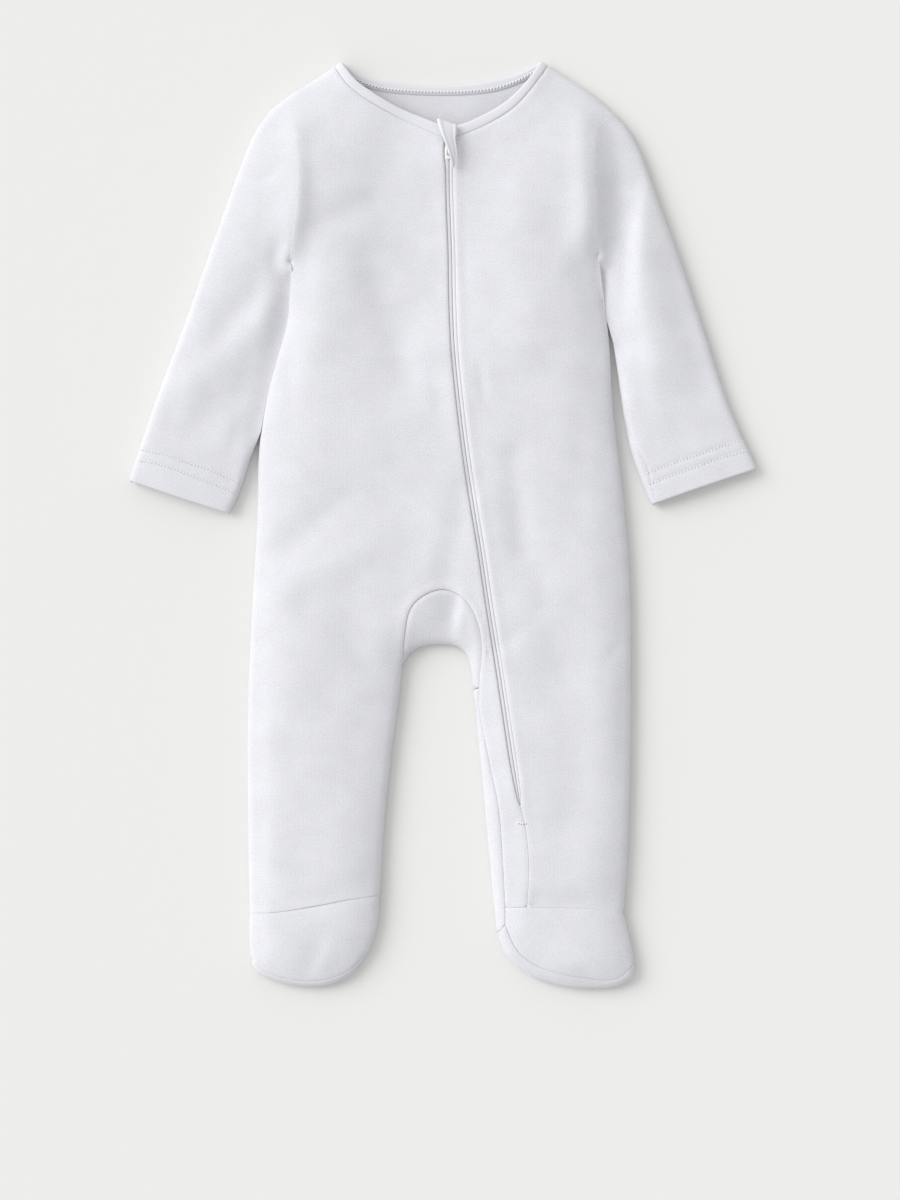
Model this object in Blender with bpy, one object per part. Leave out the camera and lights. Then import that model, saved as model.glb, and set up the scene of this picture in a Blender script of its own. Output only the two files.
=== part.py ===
"""Footed baby sleepsuit lying on its back, softly filled out, with no wearer.

Every cloth piece is a flat outline (seams and silhouettes from the tables below) that is filled
with triangles, lifted onto the garment's rounded top or its flat underside, and given a wall.
Sizes are in millimetres until a mesh is made. +Z is up, +Y points to the neck, and the wearer's
right side is at -X. The origin lies under the middle of the garment on the surface it rests on.
"""
import math

import bmesh
import bpy
import numpy as np
from mathutils import Matrix, Vector
from mathutils.geometry import delaunay_2d_cdt

MM = 0.001

# ---- driving sizes --------------------------------------------------------------------------
CLOTH = 1.2            # wall of the single cotton layer
HEM_CLOTH = 2.4        # wall where a cuff is turned up, two layers
HEM_DEPTH = 20.0       # how far the cuff is turned up
BAND_CLOTH = 2.2       # wall of the folded neck band
BAND_LIFT = 0.5        # how far the band stands out from the cloth beside it, on top
LIFT_RISE = 2.8        # height above a side fold at which it stands out fully
SEAM_GAP = 0.36        # clear space between two pieces at a seam
EDGE_HEIGHT = 4.4      # height of the side folds above the surface
RIM_RISE = 4.2         # height that the top gains in the small round of a side fold
RIM_ROUNDING = 3.8     # how far in from a side fold that round ends
UNDER_ROUNDING = 5.6   # the same for the underside
ROUNDNESS = 2.0        # exponent of both rounds; 2 is a quarter of an ellipse
SIDE_REACH = 18.0      # how far in from a side fold the top's slope eases off
CROWN_SHARE = 0.42     # part of the height that is gained more slowly, over CROWN_REACH
CROWN_REACH = 62.0
ZIP_HALF_WIDTH = 2.2   # from the zip's middle to the edge of the cloth beside it
ZIP_TAPER = 34.0       # length over which that space closes at the zip's foot
SLIDER_ROOM = 1.15     # how much wider that space is at the slider
SLIDER_ROOM_REACH = 7.0
SLIDER_STOPS = (-6.0, -3.8, -1.2, 1.4, 4.0, 7.0, 11.0)   # points along the zip, from its middle

# ---- how finely the pieces are divided --------------------------------------------------------
STEP = 12.0                    # along silhouettes and seams
TOP_CELL = 14.0                # inside the pieces that show from above
UNDER_CELL = 24.0              # inside the flat underside
RINGS = (0.5, 2.6, 9.0)        # rows of points beside a side fold
ZIP_ROW = 6.0                  # row of points beside the zip
CURVE_SAMPLES = 24             # samples between two table points of a smooth curve
NORMAL_STEP = 0.02             # half the span over which the form's slope is taken
WELD = 0.45                    # points of one piece closer than this are one
ROW_TO_EDGE = 0.8              # a row's least distance from any edge, as a share of its offset
ROW_TO_ROW = 0.5               # and from another row's points
ROW_TO_SEAM = (2.0, 1.5, 3.0)  # from a seam: share of the offset, plus this, at most this
GRID_TO_EDGE = 0.5             # least distance of the inner grid from an edge, in cells
GRID_TO_ROW = 0.55             # and from a row's points
LEAST_MITRE = 0.3              # least length of two edges' summed normals at a corner
SMOOTH_ANGLE = math.radians(50)

# ---- fixed points where seams meet silhouettes: x, y ------------------------------------------
NECK_IN_R = (-61.5, 279.0)     # inner and outer edge of the neck band at the shoulder
NECK_OUT_R = (-65.6, 276.0)
NECK_IN_L = (59.0, 279.0)
NECK_OUT_L = (63.4, 276.4)
SHOULDER_R = (-103.8, 250.0)   # top of each armhole
SHOULDER_L = (102.2, 248.2)
UNDERARM_R = (-91.6, 158.0)    # bottom of each armhole
UNDERARM_L = (93.4, 162.0)
CUFF_OUT_R = (-189.0, 27.0)
CUFF_IN_R = (-128.4, 6.9)
CUFF_OUT_L = (189.0, 34.0)
CUFF_IN_L = (125.4, 12.3)
TUCK_R = (-110.6, 56.0)        # where each sleeve comes clear of the torso
TUCK_L = (104.3, 111.0)
ANKLE_OUT_R = (-116.4, -233.4)
ANKLE_IN_R = (-38.0, -222.3)
ANKLE_OUT_L = (108.6, -233.4)
ANKLE_IN_L = (37.2, -229.8)    # on top of the leg, at the inseam
SOLE_OUT_R = (-115.9, -261.0)  # ends of the sole seam that shows
SOLE_IN_R = (-44.2, -256.0)
SOLE_OUT_L = (115.3, -263.5)
SOLE_IN_L = (37.2, -240.0)
HEEL_IN_L = (32.4, -245.4)
CROTCH_R = (-24.4, -84.0)      # corners of the gusset
CROTCH_L = (18.5, -99.0)
GUSSET_TIP_L = (21.4, -97.5)
BAND_END_IN_R = (1.3, 238.3)   # the neck band's ends beside the zip
BAND_END_OUT_R = (1.3, 231.7)
BAND_END_IN_L = (5.9, 238.5)
BAND_END_OUT_L = (5.9, 232.0)
ZIP_FOOT = (46.2, -168.4)
SHIN_SEAM_END = (50.4, -229.1)

# The middle of the zip, from the neck to its foot: x, y
ZIP_LINE = ((3.6, 231.8), (3.8, 198.0), (5.0, 165.0), (5.5, 135.0), (6.9, 105.0), (9.8, 75.0),
            (13.4, 45.0), (17.8, 15.0), (22.8, -15.0), (27.2, -45.0), (31.8, -75.0),
            (36.4, -105.0), (40.9, -135.0), ZIP_FOOT)

# Side folds, which make the silhouette: x, y of the points each smooth curve runs through.
FOLDS_IN_PLAN = {
    "neck_fold_r": (NECK_OUT_R, NECK_IN_R),
    "neck_fold_l": (NECK_OUT_L, NECK_IN_L),
    "shoulder_r": (NECK_OUT_R, (-76.2, 268.8), (-90.0, 260.4), SHOULDER_R),
    "shoulder_l": (SHOULDER_L, (88.0, 260.2), (75.0, 268.8), NECK_OUT_L),
    "sleeve_out_r": (SHOULDER_R, (-113.4, 235.8), (-122.0, 215.5), (-138.0, 171.0),
                     (-154.8, 123.0), (-172.8, 75.0), CUFF_OUT_R),
    "sleeve_out_l": (CUFF_OUT_L, (172.2, 70.8), (157.5, 115.0), (142.2, 160.2), (130.2, 193.2),
                     (118.4, 225.0), (110.8, 238.5), SHOULDER_L),
    "sleeve_free_r": (CUFF_IN_R, (-121.8, 22.2), (-116.0, 40.0), TUCK_R),
    "sleeve_free_l": (TUCK_L, (106.2, 84.0), (109.4, 63.0), (114.6, 40.2), CUFF_IN_L),
    "sleeve_tuck_r": (TUCK_R, (-107.9, 75.0), (-101.9, 99.0), (-95.2, 122.0), (-92.6, 141.0),
                      UNDERARM_R),
    "sleeve_tuck_l": (UNDERARM_L, (97.6, 142.0), (101.6, 127.0), TUCK_L),
    "side_r": (UNDERARM_R, (-91.7, 141.0), (-94.2, 122.0), (-100.9, 99.0), (-106.9, 75.0),
               (-110.5, 48.0), (-112.0, 0.0), (-114.9, -50.0), (-117.4, -112.0),
               (-117.2, -190.0), ANKLE_OUT_R),
    "side_l": (ANKLE_OUT_L, (110.9, -200.0), (112.5, -150.0), (112.7, -45.0), (108.9, 12.0),
               (102.4, 70.0), (99.9, 111.0), (96.2, 141.0), UNDERARM_L),
    "foot_out_r": (ANKLE_OUT_R, (-116.7, -248.0), SOLE_OUT_R),
    "toe_r": (SOLE_OUT_R, (-112.2, -268.8), (-103.8, -273.4), (-80.0, -277.8), (-58.5, -272.6),
              SOLE_IN_R),
    "foot_in_r": (SOLE_IN_R, (-39.8, -241.0), ANKLE_IN_R),
    "leg_in_r": (ANKLE_IN_R, (-35.8, -184.0), (-30.6, -133.0), (-26.6, -104.0), CROTCH_R),
    "crotch": (CROTCH_R, (-20.9, -77.8), (-13.8, -73.2), (-1.8, -71.6), (9.2, -73.2),
               (14.6, -78.2), (17.0, -88.0), CROTCH_L),
    "leg_in_l": (CROTCH_L, (21.6, -130.0), (25.8, -177.0), (29.6, -218.0), HEEL_IN_L),
    "toe_l": (HEEL_IN_L, (38.4, -259.2), (52.0, -271.0), (70.0, -277.0), (88.2, -279.0),
              (106.4, -277.0), (114.2, -271.8), SOLE_OUT_L),
    "foot_out_l": (SOLE_OUT_L, (112.2, -247.8), ANKLE_OUT_L),
}

# Seams and free edges on the cloth: x, y. Those ending on a side fold are divided finely there.
SEAMS_IN_PLAN = {
    "armhole_r": (SHOULDER_R, (-96.8, 248.0), (-91.2, 241.0), (-87.8, 224.0), (-87.2, 200.0),
                  (-89.6, 176.0), UNDERARM_R),
    "armhole_l": (SHOULDER_L, (96.2, 243.0), (92.0, 234.0), (91.0, 216.0), (93.0, 192.0),
                  UNDERARM_L),
    "cuff_r": (CUFF_OUT_R, (-163.8, 18.2), CUFF_IN_R),
    "cuff_l": (CUFF_OUT_L, (160.0, 24.4), CUFF_IN_L),
    "neck_in_r": (NECK_IN_R, (-52.2, 267.0), (-41.7, 259.2), (-24.6, 249.3), (-7.2, 241.9),
                  BAND_END_IN_R),
    "neck_out_r": (NECK_OUT_R, (-58.9, 266.0), (-50.4, 258.2), (-38.4, 250.5), (-24.6, 243.2),
                   (-7.2, 235.3), BAND_END_OUT_R),
    "neck_in_l": (NECK_IN_L, (51.3, 267.7), (44.4, 260.0), (35.8, 252.7), (18.6, 242.8),
                  BAND_END_IN_L),
    "neck_out_l": (NECK_OUT_L, (53.0, 261.7), (44.4, 252.0), (35.8, 245.4), (18.6, 236.4),
                   BAND_END_OUT_L),
    "neck_in_b": (NECK_IN_R, (-52.2, 272.0), (-41.7, 268.2), (-24.6, 265.9), (1.2, 264.8),
                  (27.0, 267.0), (44.4, 271.2), NECK_IN_L),
    "neck_out_b": (NECK_OUT_R, (-54.0, 267.8), (-42.0, 263.2), (-24.6, 260.4), (1.2, 259.2),
                   (27.0, 261.2), (45.0, 266.4), NECK_OUT_L),
    "band_end_r": (BAND_END_IN_R, BAND_END_OUT_R),
    "band_end_l": (BAND_END_IN_L, BAND_END_OUT_L),
    "shin_seam": (ZIP_FOOT, (48.4, -176.0), (50.2, -186.0), (51.5, -205.0), SHIN_SEAM_END),
    "ankle_r": (ANKLE_OUT_R, (-99.0, -232.0), (-76.0, -228.4), (-55.0, -224.4), ANKLE_IN_R),
    "ankle_l_inner": (ANKLE_IN_L, SHIN_SEAM_END),
    "ankle_l_outer": (SHIN_SEAM_END, (80.0, -229.8), (98.0, -231.0), ANKLE_OUT_L),
    "gusset_front": (CROTCH_R, (-23.3, -68.0), (-19.4, -50.0), (-11.0, -42.0), (0.0, -38.7),
                     (10.6, -42.8), (18.4, -52.6), (23.0, -70.0), GUSSET_TIP_L),
    "gusset_back": (CROTCH_R, (-30.0, -64.0), (-22.0, -48.0), (-3.0, -40.0), (17.0, -48.0),
                    (26.0, -66.0), (25.5, -84.0), CROTCH_L),
    "gusset_tip": (GUSSET_TIP_L, CROTCH_L),
    "inseam_l": (GUSSET_TIP_L, (21.8, -112.0), (27.6, -142.0), (33.4, -171.0), (35.9, -205.0),
                 ANKLE_IN_L),
    "inseam_l_end": (ANKLE_IN_L, SOLE_IN_L),
    "heel_tip": (SOLE_IN_L, HEEL_IN_L),
    "sole_r": (SOLE_OUT_R, (-108.0, -267.4), (-93.0, -272.6), (-74.0, -273.6), (-58.5, -268.6),
               SOLE_IN_R),
    "sole_l": (SOLE_IN_L, (41.8, -251.0), (47.0, -258.4), (60.0, -266.4), (84.0, -271.8),
               (104.0, -272.6), SOLE_OUT_L),
    "heel_r": (ANKLE_OUT_R, (-106.0, -203.0), (-77.0, -187.0), (-48.0, -200.0), ANKLE_IN_R),
    "heel_l": (HEEL_IN_L, (41.0, -212.0), (70.0, -190.0), (98.0, -205.0), ANKLE_OUT_L),
}
# Ends of a seam that lie on a side fold: at its start, at its end.
ENDS_ON_FOLD = {
    "armhole_r": (1, 1), "armhole_l": (1, 1), "cuff_r": (1, 1), "cuff_l": (1, 1),
    "neck_in_r": (1, 0), "neck_out_r": (1, 0), "neck_in_l": (1, 0), "neck_out_l": (1, 0),
    "neck_in_b": (1, 1), "neck_out_b": (1, 1), "ankle_r": (1, 1), "ankle_l_outer": (0, 1),
    "gusset_front": (1, 0), "gusset_back": (1, 0), "heel_r": (1, 1), "heel_l": (0, 1),
}

# Height of the top above the surface along the garment: y, height
BODY_HEIGHTS = ((300.0, 11.0), (270.0, 12.0), (238.0, 14.6), (200.0, 17.4), (150.0, 18.2),
                (60.0, 19.0), (-20.0, 18.4), (-90.0, 18.0), (-160.0, 17.4), (-222.0, 17.0),
                (-245.0, 17.6), (-290.0, 14.5))
SLEEVE_HEIGHTS = ((260.0, 12.0), (225.0, 14.0), (160.0, 15.0), (60.0, 15.0), (0.0, 14.5))
HEIGHT_BLUR = 14.0     # how softly one table height runs into the next
FORM_STEP = 8.0        # length of the silhouette's straight parts that shape the form
PAST_CUFF = 45.0       # how far the sleeves' folds are taken to run on past the open cuffs
ARM_LINE = ((-20.0, 110.0), (50.0, 108.0), (100.0, 100.0), (160.0, 93.0), (200.0, 90.0),
            (235.0, 91.0), (252.0, 102.0))    # y, distance from the middle where an arm begins
ARM_BLEND = (-8.0, 20.0)                      # from before to after that line

# Largest folds: x and y at each end, half width, height (a trough is negative)
CLOTH_FOLDS = (
    (-34.0, 214.0, -24.0, 100.0, 30.0, -3.0),
    (-89.0, 238.0, -89.0, 168.0, 9.0, 1.3),
    (-84.0, 182.0, -45.0, 200.0, 9.0, -1.1),
    (-44.0, 158.0, -20.0, 90.0, 11.0, -1.3),
    (46.0, 206.0, 50.0, 110.0, 15.0, 1.8),
    (70.0, 226.0, 74.0, 110.0, 11.0, -1.5),
    (-104.0, -12.0, -60.0, 22.0, 9.0, -1.5),
    (-104.0, -33.0, -52.0, -8.0, 11.0, 1.4),
    (8.0, 20.0, -2.0, -32.0, 9.0, -1.6),
    (38.0, 42.0, 43.0, -14.0, 8.5, -1.8),
    (50.0, -20.0, 56.0, -48.0, 9.0, -1.2),
    (-72.0, -42.0, -84.0, -100.0, 16.0, 1.1),
    (-52.0, -92.0, -60.0, -150.0, 14.0, -1.3),
    (62.0, -72.0, 66.0, -170.0, 14.0, -1.2),
    (58.0, -226.0, 102.0, -228.0, 7.5, -1.7),
    (-96.0, -231.0, -50.0, -224.0, 8.0, -1.0),
    (-97.0, 176.0, -146.0, 122.0, 11.0, -1.7),
    (-101.0, 141.0, -157.0, 93.0, 10.0, 1.3),
    (-103.0, 104.0, -160.0, 62.0, 11.0, -1.5),
    (100.0, 198.0, 102.0, 130.0, 8.0, -3.0),
    (103.0, 240.0, 104.0, 206.0, 8.0, -1.3),
    (119.0, 188.0, 121.0, 90.0, 10.0, 1.3),
    (150.0, 150.0, 158.0, 82.0, 12.0, -1.2),
)

# Zip tapes
TAPE_CLOTH = 0.9
TAPE_DROP = 1.85         # from the cloth's outer face down to the tape's
TAPE_REACH = 3.2         # how far the tape runs on under the cloth beside it
TAPE_GAP = 0.16          # from the zip's middle to each tape
TAPE_END_GAP = 1.5       # from the neck band and the zip's foot to the tapes' ends
TAPE_SHOWN = 0.6         # least width of tape beside the slider's post

# Slider, its bridge and pin, and the pull tab that hangs on the pin
SLIDER_MIDDLE = (3.7, 223.0)
SLIDER_LENGTH = 8.0
SLIDER_WIDTH = 5.4
SLIDER_FOOT_SHARE = 0.8  # width of its end nearer the feet
SLIDER_PLATE = 0.9
SLIDER_CLEARANCE = 0.4
POST_WIDTH = 1.1
POST_LENGTH = 2.4
EAR_WIDTH = 0.8
EAR_LENGTH = 3.4
EAR_HEIGHT = 2.6
PIN_SIZE = 0.7
PULL_PLAY = 0.32         # clear space round the pin and beside the tab's eye
PULL_EYE_WIDTH = 1.8
PULL_LENGTH = 12.0       # from the pin to the tab's end
PULL_WIDTH = 4.4
PULL_THICKNESS = 1.0
PULL_NECK = 2.2
PIN_COVER = 0.3          # material of the ears over the pin
POST_SETBACK = 0.2
POST_ROOM = 1.6          # how far along the zip the tapes stay apart for the post
BLADE_TAPER = 0.72       # width of the pull tab's blade at its neck, as a share of its end's

# The flap over the zip's top: rows from the neck to the tip, each from its folded edge to its
# free edge: x, y, x, y, and how far its lower face is above the cloth at either edge.
GARAGE_ROWS = (
    (-3.6, 242.6, 8.3, 238.6, 1.2, 1.2),
    (-3.3, 240.2, 8.5, 236.0, 2.7, 2.2),
    (-2.0, 236.0, 8.1, 232.6, 4.7, 3.1),
    (-0.3, 231.6, 7.8, 229.2, 5.3, 3.3),
    (1.5, 227.0, 8.3, 225.4, 5.2, 3.1),
    (3.4, 222.4, 8.4, 221.4, 4.5, 2.8),
    (4.9, 217.8, 7.6, 217.4, 3.2, 2.2),
    (5.7, 213.6, 6.7, 213.4, 1.9, 1.6),
)
GARAGE_COLUMNS = 6
GARAGE_SAG = 1.5
GARAGE_CLOTH = 1.7

COLOURS = {                       # linear RGB, roughness, metallic
    "jersey": ((0.76, 0.76, 0.79), 0.92, 0.0),
    "band": ((0.76, 0.76, 0.79), 0.90, 0.0),
    "tape": ((0.78, 0.78, 0.80), 0.80, 0.0),
    "slider": ((0.86, 0.85, 0.82), 0.45, 0.0),
}


# ---- curves -----------------------------------------------------------------------------------
def smooth_line(points):
    """Dense points on a centripetal Catmull-Rom curve through the given ones."""
    points = np.array(points, float)
    if len(points) == 2:
        return np.linspace(points[0], points[1], CURVE_SAMPLES)
    ends = (2 * points[0] - points[1], 2 * points[-1] - points[-2])
    knots = np.vstack([ends[0], points, ends[1]])
    dense = []
    for i in range(1, len(knots) - 2):
        p = knots[i - 1:i + 3]
        t = np.concatenate([[0.0], np.cumsum(np.linalg.norm(np.diff(p, axis=0), axis=1) ** 0.5)])
        u = np.linspace(t[1], t[2], CURVE_SAMPLES, endpoint=False)[:, None]
        a = [(t[k + 1] - u) / (t[k + 1] - t[k]) * p[k] + (u - t[k]) / (t[k + 1] - t[k]) * p[k + 1]
             for k in range(3)]
        b = [(t[k + 2] - u) / (t[k + 2] - t[k]) * a[k] + (u - t[k]) / (t[k + 2] - t[k]) * a[k + 1]
             for k in range(2)]
        dense.append((t[2] - u) / (t[2] - t[1]) * b[0] + (u - t[1]) / (t[2] - t[1]) * b[1])
    dense.append(points[-1:])
    return np.vstack(dense)


def arc_lengths(line):
    return np.concatenate([[0.0], np.cumsum(np.linalg.norm(np.diff(line, axis=0), axis=1))])


def divide(line, fine_start, fine_end, step=STEP):
    """Points on a dense line, about a step apart, closer where it ends on a side fold."""
    length = arc_lengths(line)
    total = length[-1]
    near = [r for r in RINGS if r < 0.45 * total]
    head = [0.0] + (near if fine_start else [])
    tail = ([total - r for r in reversed(near)] if fine_end else []) + [total]
    count = max(1, round((tail[0] - head[-1]) / step))
    middle = np.linspace(head[-1], tail[0], count + 1)[1:-1]
    stops = np.concatenate([head, middle, tail])
    return np.column_stack([np.interp(stops, length, line[:, k]) for k in (0, 1)])


def sideways(line):
    """Unit vectors to the left of a line's direction, at each of its points."""
    along = np.gradient(line, axis=0)
    along /= np.linalg.norm(along, axis=1)[:, None]
    return np.column_stack([-along[:, 1], along[:, 0]])


def zip_line():
    """The zip's middle, closer divided at the slider, and half the space's width at each point."""
    dense = smooth_line(ZIP_LINE)
    length = arc_lengths(dense)
    at_slider = np.interp(-SLIDER_MIDDLE[1], -dense[:, 1], length)
    close = at_slider + np.array(SLIDER_STOPS)
    even = np.linspace(0.0, length[-1], round(length[-1] / STEP) + 1)
    even = even[(even == 0.0) | (even > close[-1] + STEP / 3)]
    stops = np.concatenate([even[:1], close, even[1:]])
    line = np.column_stack([np.interp(stops, length, dense[:, k]) for k in (0, 1)])
    share = np.clip((length[-1] - stops) / ZIP_TAPER, 0.0, 1.0)
    half = ZIP_HALF_WIDTH * np.sqrt(share * (2.0 - share))
    half += SLIDER_ROOM * np.exp(-((stops - at_slider) / SLIDER_ROOM_REACH) ** 2)
    return line, half


def plan_curves():
    """Every silhouette and seam as divided points, by name."""
    curves = {}
    for name, points in FOLDS_IN_PLAN.items():
        curves[name] = divide(smooth_line(points), False, False)
    for name, points in SEAMS_IN_PLAN.items():
        start, end = ENDS_ON_FOLD.get(name, (0, 0))
        curves[name] = divide(smooth_line(points), start, end)
    line, half = zip_line()
    left = sideways(line)
    for name, side, top in (("zip_r", -1.0, BAND_END_OUT_R), ("zip_l", 1.0, BAND_END_OUT_L)):
        edge = line + side * left * half[:, None]
        edge[0] = top
        edge[-1] = ZIP_FOOT
        curves[name] = edge
    return curves


# ---- the garment's form -------------------------------------------------------------------------
def silhouette_segments():
    """Start and end points of the silhouette's short straight parts, which shape the form.

    On the right a side fold of the torso and one of the sleeve lie together, and count once.
    """
    starts, ends = [], []
    for name, points in FOLDS_IN_PLAN.items():
        if name == "sleeve_tuck_r":
            continue
        line = divide(smooth_line(points), False, False, step=FORM_STEP)
        starts.append(line[:-1])
        ends.append(line[1:])
    for name, last_at_cuff in (("sleeve_out_r", True), ("sleeve_free_r", False),
                               ("sleeve_out_l", False), ("sleeve_free_l", True)):
        line = np.array(FOLDS_IN_PLAN[name])
        before, at_cuff = (line[-2], line[-1]) if last_at_cuff else (line[1], line[0])
        out = (at_cuff - before) / np.linalg.norm(at_cuff - before)
        starts.append(at_cuff[None])
        ends.append((at_cuff + PAST_CUFF * out)[None])
    return np.vstack(starts), np.vstack(ends)


SEGMENT_STARTS, SEGMENT_ENDS = silhouette_segments()


def depth_inside(points):
    """A smooth distance from the silhouette: exact close to it and creaseless further in.

    It sums 1 / distance cubed along the silhouette, which has a closed form for a straight part.
    """
    result = np.empty(len(points))
    direction = SEGMENT_ENDS - SEGMENT_STARTS
    length = np.linalg.norm(direction, axis=1)
    direction = direction / length[:, None]
    for first in range(0, len(points), 2000):
        part = points[first:first + 2000]
        offset = part[:, None, :] - SEGMENT_STARTS[None]
        along = (offset * direction[None]).sum(axis=2)
        across2 = np.maximum((offset ** 2).sum(axis=2) - along ** 2, 1e-6)
        rest = length[None] - along
        total = (rest / np.sqrt(rest ** 2 + across2) + along / np.sqrt(along ** 2 + across2))
        result[first:first + 2000] = np.sqrt(2.0 / (total / across2).sum(axis=1))
    return result


def rounded(depth, reach):
    """0 at the silhouette, rising steeply and then flattening to 1 at the reach."""
    left = 1.0 - np.clip(depth / reach, 0.0, 1.0)
    return (1.0 - left ** ROUNDNESS) ** (1.0 / ROUNDNESS)


def smooth_step(value):
    value = np.clip(value, 0.0, 1.0)
    return value * value * (3.0 - 2.0 * value)


def soft_profile(table):
    """A function of y through a table of heights, blurred so that it has no corners."""
    ys, heights = np.array(sorted(table)).T
    fine = np.arange(ys[0] - 60.0, ys[-1] + 60.0, 2.0)
    raw = np.interp(fine, ys, heights)
    reach = np.arange(-3 * HEIGHT_BLUR, 3 * HEIGHT_BLUR + 1, 2.0)
    kernel = np.exp(-0.5 * (reach / HEIGHT_BLUR) ** 2)
    blurred = np.convolve(np.pad(raw, len(kernel) // 2, mode="edge"), kernel / kernel.sum(),
                          mode="valid")
    return lambda y: np.interp(y, fine, blurred)


BODY_HEIGHT = soft_profile(BODY_HEIGHTS)
SLEEVE_HEIGHT = soft_profile(SLEEVE_HEIGHTS)


def fold_heights(points):
    """Sum of the soft ridges and troughs at each point."""
    total = np.zeros(len(points))
    for x0, y0, x1, y1, half_width, height in CLOTH_FOLDS:
        start, along = np.array((x0, y0)), np.array((x1 - x0, y1 - y0))
        share = np.clip(((points - start) @ along) / (along @ along), 0.0, 1.0)
        away = np.linalg.norm(points - start - share[:, None] * along, axis=1)
        total += height * np.exp(-(away / half_width) ** 2)
    return total


def top_height(points):
    """Height of the upper side's outer face."""
    depth = depth_inside(points)
    arm_x = np.interp(points[:, 1], *np.array(ARM_LINE).T)
    before, after = ARM_BLEND
    arm = smooth_step((np.abs(points[:, 0]) - arm_x - before) / (after - before))
    full = (1 - arm) * BODY_HEIGHT(points[:, 1]) + arm * SLEEVE_HEIGHT(points[:, 1])
    full = full + fold_heights(points)
    slow = 1.0 - (1.0 - np.clip(depth / CROWN_REACH, 0.0, 1.0)) ** 2
    side = 1.0 - (1.0 - np.clip(depth / SIDE_REACH, 0.0, 1.0)) ** 2
    share = (1.0 - CROWN_SHARE) * side + CROWN_SHARE * slow
    rim = EDGE_HEIGHT + RIM_RISE * rounded(depth, RIM_ROUNDING)
    return rim + (full - EDGE_HEIGHT - RIM_RISE) * share


def under_height(points):
    """Height of the underside's outer face, which lies flat away from the side folds."""
    return EDGE_HEIGHT * (1.0 - rounded(depth_inside(points), UNDER_ROUNDING))


def outward(height, points, sign):
    """Unit normals of the top (sign 1) or the underside (sign -1)."""
    slope = np.column_stack([
        (height(points + shift) - height(points - shift)) / (2 * NORMAL_STEP)
        for shift in (np.array((NORMAL_STEP, 0.0)), np.array((0.0, NORMAL_STEP)))])
    normals = np.column_stack([-sign * slope, np.full(len(points), sign)])
    return normals / np.linalg.norm(normals, axis=1)[:, None]


def on_top(points, lift):
    """Points of the plan laid on the upper side and moved out from it by the lift."""
    laid = np.column_stack([points, top_height(points)])
    return laid + lift * outward(top_height, points, 1.0)


# ---- cloth pieces ---------------------------------------------------------------------------------
# Kinds of edge: a seam is set back by half the seam gap; a fold is shared by a piece's upper and
# lower sheet; a side seam lies on a side fold between two pieces; an edge is free; zip edges have
# a row of points beside them.
SEAM, FOLD, SIDE_SEAM, EDGE, ZIP_EDGE = "seam", "fold", "side seam", "edge", "zip edge"
TOP, UNDER = "top", "under"

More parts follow.
